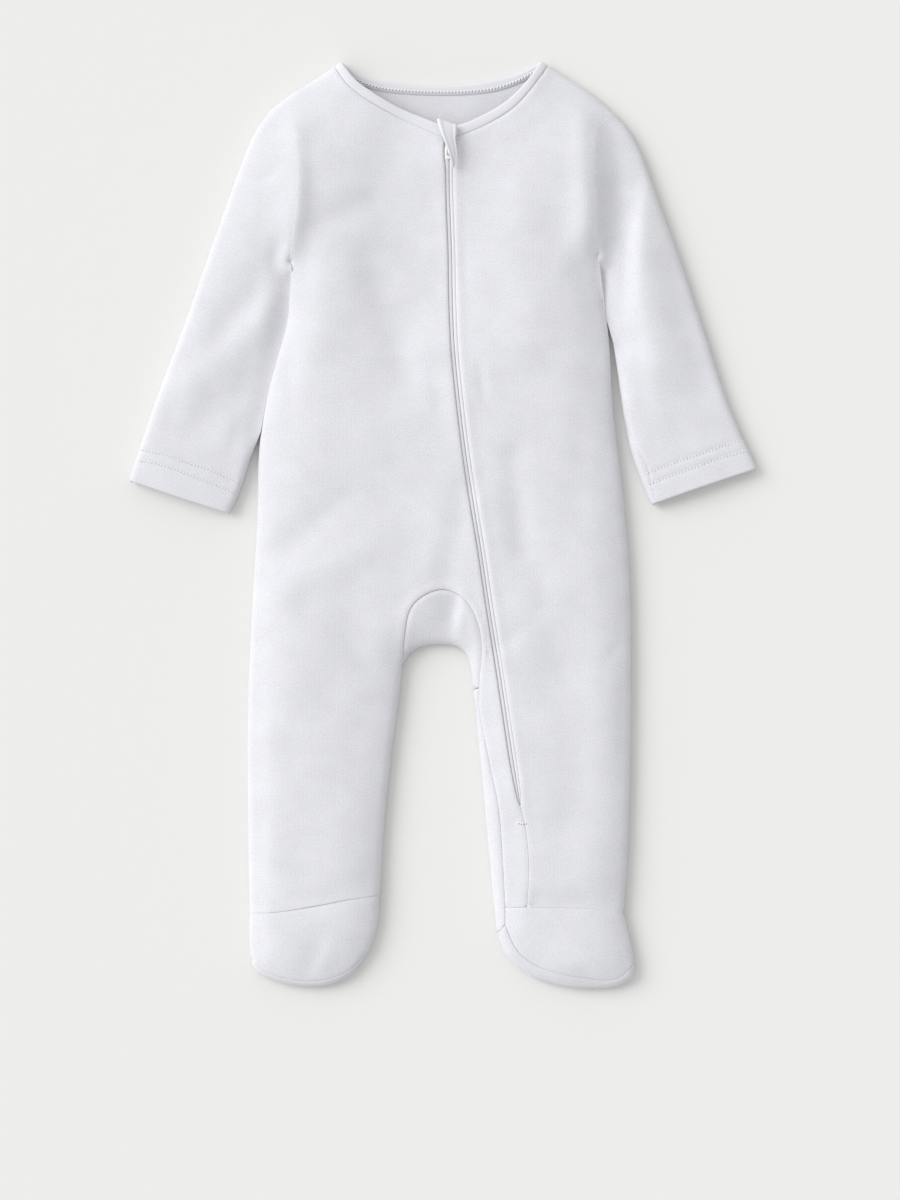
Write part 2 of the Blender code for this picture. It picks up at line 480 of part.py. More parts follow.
# Each piece: its sheets, each a side and the curves round it in order ("-" runs one backwards).
CLOTH_PIECES = {
    "front_right": ((TOP, (
        ("-neck_out_r", SEAM), ("shoulder_r", SIDE_SEAM), ("armhole_r", SEAM),
        ("side_r", SIDE_SEAM), ("ankle_r", SEAM), ("leg_in_r", SIDE_SEAM), ("gusset_front", SEAM),
        ("inseam_l", SEAM), ("ankle_l_inner", SEAM), ("-shin_seam", SEAM), ("-zip_r", ZIP_EDGE))),),
    "front_left": ((TOP, (
        ("neck_out_l", SEAM), ("zip_l", ZIP_EDGE), ("shin_seam", SEAM), ("ankle_l_outer", SEAM),
        ("side_l", SIDE_SEAM), ("-armhole_l", SEAM), ("shoulder_l", SIDE_SEAM))),),
    "back": (
        (UNDER, (
            ("neck_out_b", SEAM), ("-shoulder_l", SIDE_SEAM), ("armhole_l", SEAM),
            ("-side_l", SIDE_SEAM), ("-heel_l", SEAM), ("-leg_in_l", FOLD), ("-gusset_back", SEAM),
            ("-leg_in_r", SIDE_SEAM), ("-heel_r", SEAM), ("-side_r", SIDE_SEAM),
            ("-armhole_r", SEAM), ("-shoulder_r", SIDE_SEAM))),
        (TOP, (
            ("inseam_l", SEAM), ("inseam_l_end", SEAM), ("heel_tip", SEAM), ("-leg_in_l", FOLD),
            ("-gusset_tip", SEAM)))),
    "gusset": (
        (TOP, (("gusset_front", SEAM), ("gusset_tip", SEAM), ("-crotch", FOLD))),
        (UNDER, (("gusset_back", SEAM), ("-crotch", FOLD)))),
    "sleeve_right": tuple((side, (
        ("-armhole_r", SEAM), ("sleeve_out_r", FOLD), ("cuff_r", EDGE), ("sleeve_free_r", FOLD),
        ("sleeve_tuck_r", FOLD))) for side in (TOP, UNDER)),
    "sleeve_left": tuple((side, (
        ("armhole_l", SEAM), ("sleeve_tuck_l", FOLD), ("sleeve_free_l", FOLD), ("-cuff_l", EDGE),
        ("sleeve_out_l", FOLD))) for side in (TOP, UNDER)),
    "foot_upper_right": ((TOP, (
        ("-ankle_r", SEAM), ("foot_out_r", SIDE_SEAM), ("sole_r", SEAM),
        ("foot_in_r", SIDE_SEAM))),),
    "foot_upper_left": ((TOP, (
        ("ankle_l_inner", SEAM), ("ankle_l_outer", SEAM), ("-foot_out_l", SIDE_SEAM),
        ("-sole_l", SEAM), ("-inseam_l_end", SEAM))),),
    "sole_right": (
        (UNDER, (("heel_r", SEAM), ("-foot_in_r", SIDE_SEAM), ("-toe_r", FOLD),
                 ("-foot_out_r", SIDE_SEAM))),
        (TOP, (("sole_r", SEAM), ("-toe_r", FOLD)))),
    "sole_left": (
        (UNDER, (("heel_l", SEAM), ("-foot_out_l", SIDE_SEAM), ("-toe_l", FOLD))),
        (TOP, (("sole_l", SEAM), ("-toe_l", FOLD), ("-heel_tip", SEAM)))),
    "neck_binding": (
        (TOP, (("neck_in_r", EDGE), ("band_end_r", EDGE), ("-neck_out_r", SEAM),
               ("neck_fold_r", FOLD))),
        (UNDER, (("neck_in_b", EDGE), ("-neck_fold_l", FOLD), ("-neck_out_b", SEAM),
                 ("neck_fold_r", FOLD))),
        (TOP, (("neck_in_l", EDGE), ("band_end_l", EDGE), ("-neck_out_l", SEAM),
               ("neck_fold_l", FOLD)))),
}


def outline_of(sheet, curves):
    """The sheet's corner points in order, with the kind of the edge that follows each."""
    points, kinds = [], []
    for name, kind in sheet:
        line = curves[name.lstrip("-")]
        line = line[::-1] if name.startswith("-") else line
        points.extend(line[:-1])
        kinds.extend([kind] * (len(line) - 1))
    return np.array(points), kinds


def inward_normals(points):
    """Unit normals of a closed outline's edges, pointing into it."""
    following = np.roll(points, -1, axis=0)
    edges = following - points
    area2 = np.sum(points[:, 0] * following[:, 1] - following[:, 0] * points[:, 1])
    normals = np.column_stack([-edges[:, 1], edges[:, 0]]) * (1.0 if area2 > 0 else -1.0)
    return normals / np.linalg.norm(normals, axis=1)[:, None]


def set_back(points, kinds):
    """Move an outline's seam edges in by half the seam gap and leave the others in place."""
    normals = inward_normals(points)
    insets = np.array([SEAM_GAP / 2 if kind in (SEAM, ZIP_EDGE) else 0.0 for kind in kinds])
    moved = points.copy()
    for i in range(len(points)):
        before, after = normals[i - 1], normals[i]
        cross = before[0] * after[1] - before[1] * after[0]
        if abs(cross) > 0.25:
            moved[i] += np.linalg.solve(np.array([before, after]), [insets[i - 1], insets[i]])
        else:
            both = before + after
            moved[i] += both / np.linalg.norm(both) * max(insets[i - 1], insets[i])
    return moved, normals


def distance_to_edges(points, starts, ends):
    """Distance from each point to the nearest of some straight edges."""
    nearest = np.full(len(points), np.inf)
    for start, end in zip(starts, ends):
        along = end - start
        share = np.clip(((points - start) @ along) / max(along @ along, 1e-12), 0.0, 1.0)
        away = np.linalg.norm(points - start - share[:, None] * along, axis=1)
        nearest = np.minimum(nearest, away)
    return nearest


def inside_outline(points, outline):
    inside = np.zeros(len(points), bool)
    for (x0, y0), (x1, y1) in zip(outline, np.roll(outline, -1, axis=0)):
        if y0 == y1:
            continue
        crosses = (y0 > points[:, 1]) != (y1 > points[:, 1])
        inside ^= crosses & (points[:, 0] < (x1 - x0) * (points[:, 1] - y0) / (y1 - y0) + x0)
    return inside


def inner_points(outline, kinds, normals, cell):
    """Rows of points beside folds and the zip, and an even triangular grid further in."""
    ends = np.roll(outline, -1, axis=0)
    folded = np.array([kind in (FOLD, SIDE_SEAM) for kind in kinds])
    zipped = np.array([kind == ZIP_EDGE for kind in kinds])
    seamed = ~folded
    chosen = np.empty((0, 2))
    for beside, offsets in ((folded, RINGS), (zipped, (ZIP_ROW,))):
        for offset in offsets:
            starts = np.flatnonzero(beside | np.roll(beside, 1))
            inward = np.array([normals[i] * beside[i] + normals[i - 1] * beside[i - 1]
                               for i in starts])
            if not len(starts):
                continue
            inward /= np.maximum(np.linalg.norm(inward, axis=1), LEAST_MITRE)[:, None]
            row = outline[starts] + inward * offset
            keep = inside_outline(row, outline)
            keep &= distance_to_edges(row, outline, ends) > ROW_TO_EDGE * offset
            if seamed.any() and beside is folded:
                share, more, most = ROW_TO_SEAM
                clear = min(most, share * offset + more)
                keep &= distance_to_edges(row, outline[seamed], ends[seamed]) > clear
            if len(chosen):
                keep &= distance_to_edges(row, chosen, chosen) > ROW_TO_ROW * offset
            chosen = np.vstack([chosen, row[keep]])
    low, high = outline.min(axis=0), outline.max(axis=0)
    rows = np.arange(low[1] + cell / 2, high[1], cell * math.sqrt(0.75))
    grid = np.array([(x + (i % 2) * cell / 2, y) for i, y in enumerate(rows)
                     for x in np.arange(low[0], high[0], cell)])
    if len(grid):
        grid = grid[inside_outline(grid, outline)]
    if len(grid):
        keep = distance_to_edges(grid, outline, ends) > GRID_TO_EDGE * cell
        if len(chosen):
            keep &= distance_to_edges(grid, chosen, chosen) > GRID_TO_ROW * cell
        chosen = np.vstack([chosen, grid[keep]])
    return chosen


def fill_sheet(side, sheet, curves, lift):
    """One sheet's points on the garment's form, their outward normals and its triangles."""
    outline, kinds = outline_of(sheet, curves)
    outline, normals = set_back(outline, kinds)
    extra = inner_points(outline, kinds, normals, TOP_CELL if side == TOP else UNDER_CELL)
    flat = np.vstack([outline, extra])
    count = len(outline)
    ring = [(i, (i + 1) % count) for i in range(count)]
    points, _, faces, origin, _, _ = delaunay_2d_cdt([Vector(p) for p in flat], ring, [], 1, 1e-6)
    plan = np.array([(p.x, p.y) for p in points])
    sign, height = (1.0, top_height) if side == TOP else (-1.0, under_height)
    heights = height(plan)
    out = outward(height, plan, sign)
    on_fold = [kind in (FOLD, SIDE_SEAM) for kind in kinds]
    for index, sources in enumerate(origin):
        known = [s for s in sources if s < count]
        if not known or not (on_fold[known[0]] or on_fold[known[0] - 1]):
            continue
        corner = known[0]
        is_shared = FOLD in (kinds[corner], kinds[corner - 1])
        heights[index] = EDGE_HEIGHT + (0.0 if is_shared else sign * SEAM_GAP / 2)
        level = -(normals[corner] * on_fold[corner] + normals[corner - 1] * on_fold[corner - 1])
        out[index] = (*(level / np.linalg.norm(level)), 0.0)
    raised = lift * smooth_step((heights - EDGE_HEIGHT) / LIFT_RISE)
    solid = np.column_stack([plan, heights]) + raised[:, None] * out
    return solid, out, [tuple(f) if side == TOP else tuple(reversed(f)) for f in faces]


def cloth_mesh(name, sheets, curves, wall, lift=0.0, hem=None):
    """A closed shell from a piece's sheets, joined along their shared folds.

    The wall lies inside the outer face, which stands out by the lift. Within HEM_DEPTH of the
    hem line it is HEM_CLOTH thick.
    """
    bm = bmesh.new()
    normal = bm.verts.layers.float_vector.new("outward")
    for side, sheet in sheets:
        points, out, faces = fill_sheet(side, sheet, curves, lift)
        verts = []
        for point, direction in zip(points, out):
            vertex = bm.verts.new(Vector(point))
            vertex[normal] = direction
            verts.append(vertex)
        for face in faces:
            bm.faces.new([verts[i] for i in face])
    bmesh.ops.remove_doubles(bm, verts=bm.verts, dist=WELD)
    walls = np.full(len(bm.verts), wall)
    if hem is not None:
        plan = np.array([(v.co.x, v.co.y) for v in bm.verts])
        walls[distance_to_edges(plan, hem[:-1], hem[1:]) < HEM_DEPTH] = HEM_CLOTH
    close_shell(bm, {v: v[normal] * float(w) for v, w in zip(bm.verts, walls)})
    return finished_mesh(bm, name)


def close_shell(bm, inward):
    """Copy the surface inward by each point's vector and join the two along their rims."""
    rims = [edge.link_loops[0] for edge in bm.edges if edge.is_boundary]
    rims = [(loop.vert, loop.link_loop_next.vert) for loop in rims]
    copy = bmesh.ops.duplicate(bm, geom=bm.verts[:] + bm.edges[:] + bm.faces[:])
    inner_of = copy["vert_map"]
    for vertex, wall in inward.items():
        inner_of[vertex].co = vertex.co - wall
    faces = [thing for thing in copy["geom"] if isinstance(thing, bmesh.types.BMFace)]
    bmesh.ops.reverse_faces(bm, faces=faces)
    for first, second in rims:
        bm.faces.new((second, first, inner_of[first], inner_of[second]))


def finished_mesh(bm, name):
    bmesh.ops.scale(bm, vec=(MM, MM, MM), verts=bm.verts)
    mesh = bpy.data.meshes.new(name)
    bm.to_mesh(mesh)
    bm.free()
    return mesh


# ---- objects ------------------------------------------------------------------------------------
def clear_scene():
    for thing in list(bpy.data.objects):
        bpy.data.objects.remove(thing, do_unlink=True)


def make_material(name):
    colour, roughness, metallic = COLOURS[name]
    material = bpy.data.materials.new(name)
    material.use_nodes = True
    shader = material.node_tree.nodes["Principled BSDF"]
    shader.inputs["Base Color"].default_value = (*colour, 1.0)
    shader.inputs["Roughness"].default_value = roughness
    shader.inputs["Metallic"].default_value = metallic
    return material


def add_object(name, mesh, material, collection):
    thing = bpy.data.objects.new(name, mesh)
    mesh.materials.append(material)
    mesh.shade_smooth()
    mesh.set_sharp_from_angle(angle=SMOOTH_ANGLE)
    collection.objects.link(thing)
    return thing


def strip_mesh(name, rows, out, wall):
    """A closed strip: a grid of outer points with their outward normals, and a wall inside it."""
    columns = rows.shape[1]
    bm = bmesh.new()
    bmesh.ops.create_grid(bm, x_segments=columns - 1, y_segments=rows.shape[0] - 1, size=1.0)
    bm.verts.ensure_lookup_table()
    inward = {}
    for vertex, point, direction in zip(bm.verts, rows.reshape(-1, 3), out.reshape(-1, 3)):
        vertex.co = Vector(point)
        inward[vertex] = Vector(direction) * wall
    bm.normal_update()
    if sum(face.normal.dot(inward[face.verts[0]]) for face in bm.faces) < 0:
        bmesh.ops.reverse_faces(bm, faces=bm.faces)
    close_shell(bm, inward)
    return finished_mesh(bm, name)


def build_zip_tape(name, side, material, collection):
    line, half = zip_line()
    line[0] += (line[1] - line[0]) / np.linalg.norm(line[1] - line[0]) * TAPE_END_GAP
    line[-1] += (line[-2] - line[-1]) / np.linalg.norm(line[-2] - line[-1]) * TAPE_END_GAP
    left = sideways(line)
    from_post = np.abs(line[:, 1] - SLIDER_MIDDLE[1] - SLIDER_LENGTH / 2 + POST_LENGTH / 2)
    inner = np.where(from_post < POST_LENGTH + POST_ROOM, POST_WIDTH / 2 + SLIDER_CLEARANCE, TAPE_GAP)
    shown = np.maximum(half, inner + TAPE_SHOWN)
    lines = [line + side * left * offset[:, None] for offset in (inner, shown, shown + TAPE_REACH)]
    plan = np.stack(lines, axis=1)
    rows = on_top(plan.reshape(-1, 2), -TAPE_DROP).reshape(*plan.shape[:2], 3)
    out = outward(top_height, plan.reshape(-1, 2), 1.0).reshape(rows.shape)
    return add_object(name, strip_mesh(name, rows, out, TAPE_CLOTH), material, collection)


def block(bm, size, middle, foot_share=1.0):
    """A box in millimetres whose end nearer the feet is narrower by foot_share."""
    made = bmesh.ops.create_cube(bm, size=1.0, matrix=Matrix.Diagonal((*size, 1.0)))["verts"]
    for vertex in made:
        if vertex.co.y < 0:
            vertex.co.x *= foot_share
        vertex.co += Vector(middle)
    return made


def slider_frame():
    """The slider's own axes: on the cloth's face at its middle, pitched to the cloth's slope."""
    middle = np.array([SLIDER_MIDDLE])
    ahead = np.array([(0.0, SLIDER_LENGTH / 2)])
    face = float(top_height(middle)[0])
    rise = float(top_height(middle + ahead)[0] - top_height(middle - ahead)[0])
    pitch = math.atan2(rise, SLIDER_LENGTH)
    return Matrix.Translation(Vector((*SLIDER_MIDDLE, face)) * MM) @ Matrix.Rotation(pitch, 4, "X")


def solid_object(name, boxes, place, material, collection):
    """One solid from boxes that run into each other, joined by Boolean unions."""
    things = []
    for index, (size, middle, foot_share) in enumerate(boxes):
        bm = bmesh.new()
        block(bm, size, middle, foot_share)
        thing = add_object(name if index == 0 else f"{name}_tool_{index}",
                           finished_mesh(bm, name), material, collection)
        thing.matrix_world = place
        things.append(thing)
    for tool in things[1:]:
        union = things[0].modifiers.new("join", "BOOLEAN")
        union.operation = "UNION"
        union.object = tool
        tool.hide_render = True
        tool.display_type = "WIRE"
    return things[0]


# Heights in the slider's frame, whose zero is the cloth's outer face.
PLATE_LOW = SLIDER_CLEARANCE - TAPE_DROP
PLATE_FACE = PLATE_LOW + SLIDER_PLATE
LOWER_HIGH = -TAPE_DROP - TAPE_CLOTH - SLIDER_CLEARANCE
LOWER_FACE = LOWER_HIGH - SLIDER_PLATE
PIN_HEIGHT = PLATE_FACE + EAR_HEIGHT - PIN_SIZE / 2 - PIN_COVER


def build_slider(place, material, collection):
    """Two plates, the post between them, and the bridge of two ears that holds the tab's pin."""
    plate = (SLIDER_WIDTH, SLIDER_LENGTH, SLIDER_PLATE)
    post_y = SLIDER_LENGTH / 2 - POST_LENGTH / 2 - POST_SETBACK
    boxes = [
        (plate, (0.0, 0.0, (PLATE_LOW + PLATE_FACE) / 2), SLIDER_FOOT_SHARE),
        (plate, (0.0, 0.0, (LOWER_HIGH + LOWER_FACE) / 2), SLIDER_FOOT_SHARE),
        ((POST_WIDTH, POST_LENGTH, PLATE_FACE - LOWER_FACE - SLIDER_PLATE),
         (0.0, post_y, (PLATE_FACE + LOWER_FACE) / 2), 1.0),
    ]
    for side in (-1.0, 1.0):
        ear_x = side * (PULL_EYE_WIDTH / 2 + PULL_PLAY + EAR_WIDTH / 2)
        boxes.append(((EAR_WIDTH, EAR_LENGTH, EAR_HEIGHT + SLIDER_PLATE / 2),
                      (ear_x, 0.0, PLATE_FACE + EAR_HEIGHT / 2 - SLIDER_PLATE / 4), 1.0))
    boxes.append(((PULL_EYE_WIDTH + 2 * PULL_PLAY + EAR_WIDTH, PIN_SIZE, PIN_SIZE),
                  (0.0, 0.0, PIN_HEIGHT), 1.0))
    return solid_object("zip_slider", boxes, place, material, collection)


def build_pull(place, material, collection):
    """The pull tab, lying up towards the neck under the flap. Its eye goes round the pin.

    Its origin is on the pin's axis, which it turns on.
    """
    wall = PULL_THICKNESS / 2
    eye = PIN_SIZE + 2 * (PULL_PLAY + wall)
    boxes = []
    for side in (-1.0, 1.0):
        at = side * (eye - wall) / 2
        boxes.append(((PULL_EYE_WIDTH, wall, eye), (0.0, at, 0.0), 1.0))
        boxes.append(((PULL_EYE_WIDTH, eye, wall), (0.0, 0.0, at), 1.0))
    boxes.append(((PULL_EYE_WIDTH, PULL_NECK, PULL_THICKNESS),
                  (0.0, (eye + PULL_NECK) / 2 - wall / 2, 0.0), 1.0))
    blade = PULL_LENGTH - eye / 2 - PULL_NECK + wall
    boxes.append(((PULL_WIDTH, blade, PULL_THICKNESS), (0.0, PULL_LENGTH - blade / 2, 0.0),
                  BLADE_TAPER))
    place = place @ Matrix.Translation((0.0, 0.0, PIN_HEIGHT * MM))
    return solid_object("zip_pull", boxes, place, material, collection)


def build_garage(material, collection):
    """The flap over the zip's top: a leaf of two layers, high on its folded side."""
    rows = []
    for left_x, left_y, right_x, right_y, left_clear, right_clear in GARAGE_ROWS:
        across = np.linspace(0.0, 1.0, GARAGE_COLUMNS)
        plan = np.column_stack([left_x + (right_x - left_x) * across,
                                left_y + (right_y - left_y) * across])
        laid = on_top(plan, 0.0)
        clear = left_clear + (right_clear - left_clear) * across ** GARAGE_SAG
        laid[:, 2] += clear + GARAGE_CLOTH
        rows.append(laid)
    rows = np.array(rows)
    out = np.cross(np.gradient(rows, axis=0), np.gradient(rows, axis=1))
    out /= np.linalg.norm(out, axis=2)[:, :, None]
    mesh = strip_mesh("zip_garage", rows, out, GARAGE_CLOTH)
    return add_object("zip_garage", mesh, material, collection)


def main():
    clear_scene()
    collection = bpy.data.collections.new("footed_sleepsuit")
    bpy.context.scene.collection.children.link(collection)
    materials = {name: make_material(name) for name in COLOURS}
    curves = plan_curves()
    hems = {"sleeve_right": curves["cuff_r"], "sleeve_left": curves["cuff_l"]}
    for name, sheets in CLOTH_PIECES.items():
        if name == "neck_binding":
            mesh = cloth_mesh(name, sheets, curves, BAND_CLOTH, lift=BAND_LIFT)
            add_object(name, mesh, materials["band"], collection)
            continue
        mesh = cloth_mesh(name, sheets, curves, CLOTH, hem=hems.get(name))
        add_object(name, mesh, materials["jersey"], collection)
    build_zip_tape("zip_tape_right", -1.0, materials["tape"], collection)
    build_zip_tape("zip_tape_left", 1.0, materials["tape"], collection)
    place = slider_frame()
    build_slider(place, materials["slider"], collection)
    build_pull(place, materials["slider"], collection)
    build_garage(materials["jersey"], collection)


main()
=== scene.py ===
import math

import bmesh
import bpy
import numpy as np
from mathutils import Matrix, Vector
from mathutils.geometry import delaunay_2d_cdt
from mathutils.kdtree import KDTree


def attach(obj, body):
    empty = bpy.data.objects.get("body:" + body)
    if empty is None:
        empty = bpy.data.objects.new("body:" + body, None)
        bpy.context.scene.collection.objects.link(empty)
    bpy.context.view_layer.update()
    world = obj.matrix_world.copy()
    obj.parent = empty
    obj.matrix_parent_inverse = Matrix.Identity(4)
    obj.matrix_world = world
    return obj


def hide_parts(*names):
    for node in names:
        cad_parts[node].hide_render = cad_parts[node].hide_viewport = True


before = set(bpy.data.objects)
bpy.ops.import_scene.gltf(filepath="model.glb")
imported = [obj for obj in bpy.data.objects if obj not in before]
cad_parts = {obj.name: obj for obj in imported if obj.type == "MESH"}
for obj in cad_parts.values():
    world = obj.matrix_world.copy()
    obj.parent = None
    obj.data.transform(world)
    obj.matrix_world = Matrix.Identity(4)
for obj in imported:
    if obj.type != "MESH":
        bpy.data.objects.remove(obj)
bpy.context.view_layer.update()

MM = 0.001

# ---- driving sizes, as in the solids -----------------------------------------------------------
BAND_LIFT = 0.5        # how far the band stands out from the cloth beside it, on top
CLOTH = 1.2            # wall of the single cotton layer
HEM_CLOTH = 2.4        # wall where a cuff is turned up, two layers
HEM_DEPTH = 20.0       # how far the cuff is turned up
BAND_CLOTH = 2.2       # thickness of the folded neck band
EDGE_HEIGHT = 3.9      # height of the side folds above the surface
RIM_RISE = 3.3         # height that the top gains in the small round of a side fold
RIM_ROUNDING = 3.4     # how far in from a side fold that round ends
UNDER_ROUNDING = 5.6   # the same for the underside
ROUNDNESS = 2.0        # exponent of both rounds; 2 is a quarter of an ellipse
SIDE_REACH = 24.0      # how far in from a side fold the top's slope eases off
CROWN_SHARE = 0.35     # part of the height that is gained more slowly, over CROWN_REACH
CROWN_REACH = 62.0
ZIP_HALF_WIDTH = 2.2   # from the zip's middle to the edge of the cloth beside it
ZIP_TAPER = 34.0       # length over which that space closes at the zip's foot
SLIDER_ROOM = 1.15     # how much wider that space is at the slider
SLIDER_ROOM_REACH = 7.0

# ---- how finely the pieces are divided ---------------------------------------------------------
COARSE = 1.0
STEP = 2.2 * COARSE                # along silhouettes and seams
TOP_CELL = 2.5 * COARSE            # inside the pieces that show from above
UNDER_CELL = 7.0                   # inside the flat underside
FOLD_ROWS = (0.006, 0.03, 0.12, 0.4, 1.0, 2.4, 4.6, 8.0)   # rows of points beside a side fold
SEAM_ROWS = (0.15, 0.45, 0.9, 1.7, 3.0)                    # and beside a seam or a free edge
CURVE_SAMPLES = 24                 # samples between two table points of a smooth curve
PAST_CUFF = 45.0                   # how far the sleeves' folds are taken to run on past the cuffs
NORMAL_STEP = 0.02                 # half the span over which the form's slope is taken
WELD = 0.08                        # points of one piece closer than this are one
FOLD_ROW_CLEAR = 0.35              # least distance of the rows beside a fold from other edges
SEAM_ROW_CLEAR = 0.3               # and of the rows beside a seam from folds
OWN_EDGE_CLEAR = 0.8               # of a row from its own edges, as a share of its offset
ROW_CLEAR = 0.4                    # of a seam's row from a fold's rows, the same
FEATURE_EDGE_CLEAR = 0.5           # of a row along a feature from the outline
GRID_EDGE_CLEAR = 0.5              # of the grid from the outline, as a share of a cell
GRID_ROW_CLEAR = 0.55              # and from the rows
CORNER_TURNS = 5                   # points in each rounded corner of a small plate

# ---- fixed points where seams meet silhouettes: x, y -------------------------------------------
NECK_IN_R = (-61.5, 279.0)     # inner and outer edge of the neck band at the shoulder
NECK_OUT_R = (-65.6, 276.0)
NECK_IN_L = (59.0, 279.0)
NECK_OUT_L = (63.4, 276.4)
SHOULDER_R = (-103.8, 250.0)   # top of each armhole
SHOULDER_L = (102.2, 248.2)
UNDERARM_R = (-91.6, 158.0)    # bottom of each armhole
UNDERARM_L = (93.4, 162.0)
CUFF_OUT_R = (-189.0, 27.0)
CUFF_IN_R = (-128.4, 6.9)
CUFF_OUT_L = (189.0, 34.0)
CUFF_IN_L = (125.4, 12.3)
TUCK_R = (-109.6, 56.0)        # where each sleeve comes clear of the torso
TUCK_L = (102.6, 109.0)
ANKLE_OUT_R = (-116.4, -233.4)
ANKLE_IN_R = (-38.0, -222.3)
ANKLE_OUT_L = (108.6, -233.4)
ANKLE_IN_L = (37.2, -229.8)    # on top of the leg, at the inseam
SOLE_OUT_R = (-115.9, -261.0)  # ends of the sole seam that shows
SOLE_IN_R = (-44.2, -256.0)
SOLE_OUT_L = (115.3, -263.5)
SOLE_IN_L = (37.2, -240.0)
HEEL_IN_L = (32.4, -245.4)
CROTCH_R = (-24.4, -84.0)      # corners of the gusset
CROTCH_L = (18.5, -99.0)
GUSSET_TIP_L = (21.4, -97.5)
BAND_END_IN_R = (1.3, 238.3)   # the neck band's ends beside the zip
BAND_END_OUT_R = (1.3, 231.7)
BAND_END_IN_L = (5.9, 238.5)
BAND_END_OUT_L = (5.9, 232.0)
ZIP_FOOT = (46.2, -168.4)
SHIN_SEAM_END = (50.4, -229.1)

# The middle of the zip, from the neck to its foot: x, y
ZIP_LINE = ((3.6, 231.8), (3.8, 198.0), (5.0, 165.0), (5.5, 135.0), (6.9, 105.0), (9.8, 75.0),
            (13.4, 45.0), (17.8, 15.0), (22.8, -15.0), (27.2, -45.0), (31.8, -75.0),
            (36.4, -105.0), (40.9, -135.0), ZIP_FOOT)

# Side folds, which make the silhouette: x, y of the points each smooth curve runs through.
FOLDS_IN_PLAN = {
    "neck_fold_r": (NECK_OUT_R, NECK_IN_R),
    "neck_fold_l": (NECK_OUT_L, NECK_IN_L),
    "shoulder_r": (NECK_OUT_R, (-76.2, 268.8), (-90.0, 260.4), SHOULDER_R),
    "shoulder_l": (SHOULDER_L, (88.0, 260.2), (75.0, 268.8), NECK_OUT_L),
    "sleeve_out_r": (SHOULDER_R, (-113.4, 235.8), (-122.0, 215.5), (-138.0, 171.0),
                     (-154.8, 123.0), (-172.8, 75.0), CUFF_OUT_R),
    "sleeve_out_l": (CUFF_OUT_L, (172.2, 70.8), (157.5, 115.0), (142.2, 160.2), (130.2, 193.2),
                     (118.4, 225.0), (110.8, 238.5), SHOULDER_L),
    "sleeve_free_r": (CUFF_IN_R, (-121.8, 22.2), (-116.0, 40.0), TUCK_R),
    "sleeve_free_l": (TUCK_L, (106.2, 84.0), (109.4, 63.0), (114.6, 40.2), CUFF_IN_L),
    "sleeve_tuck_r": (TUCK_R, (-106.1, 75.0), (-100.1, 99.0), (-93.4, 122.0), (-91.0, 141.0),
                      (-90.2, 150.0), UNDERARM_R),
    "sleeve_tuck_l": (UNDERARM_L, (93.2, 152.0), (94.9, 141.0), (98.3, 124.0), TUCK_L),
    "side_r": (UNDERARM_R, (-91.7, 141.0), (-94.2, 122.0), (-100.9, 99.0), (-106.9, 75.0),
               (-110.5, 48.0), (-112.0, 0.0), (-114.9, -50.0), (-117.4, -112.0),
               (-117.2, -190.0), ANKLE_OUT_R),
    "side_l": (ANKLE_OUT_L, (110.9, -200.0), (112.5, -150.0), (112.7, -45.0), (108.9, 12.0),
               (102.4, 70.0), (99.9, 111.0), (96.2, 141.0), UNDERARM_L),
    "foot_out_r": (ANKLE_OUT_R, (-116.7, -248.0), SOLE_OUT_R),
    "toe_r": (SOLE_OUT_R, (-112.2, -268.8), (-103.8, -273.4), (-80.0, -277.8), (-58.5, -272.6),
              SOLE_IN_R),
    "foot_in_r": (SOLE_IN_R, (-39.8, -241.0), ANKLE_IN_R),
    "leg_in_r": (ANKLE_IN_R, (-35.8, -184.0), (-30.6, -133.0), (-26.6, -104.0), CROTCH_R),
    "crotch": (CROTCH_R, (-20.9, -77.8), (-13.8, -73.2), (-1.8, -71.6), (9.2, -73.2),
               (14.6, -78.2), (17.0, -88.0), CROTCH_L),
    "leg_in_l": (CROTCH_L, (21.6, -130.0), (25.8, -177.0), (29.6, -218.0), HEEL_IN_L),
    "toe_l": (HEEL_IN_L, (38.4, -259.2), (52.0, -271.0), (70.0, -277.0), (88.2, -279.0),
              (106.4, -277.0), (114.2, -271.8), SOLE_OUT_L),
    "foot_out_l": (SOLE_OUT_L, (112.2, -247.8), ANKLE_OUT_L),
}

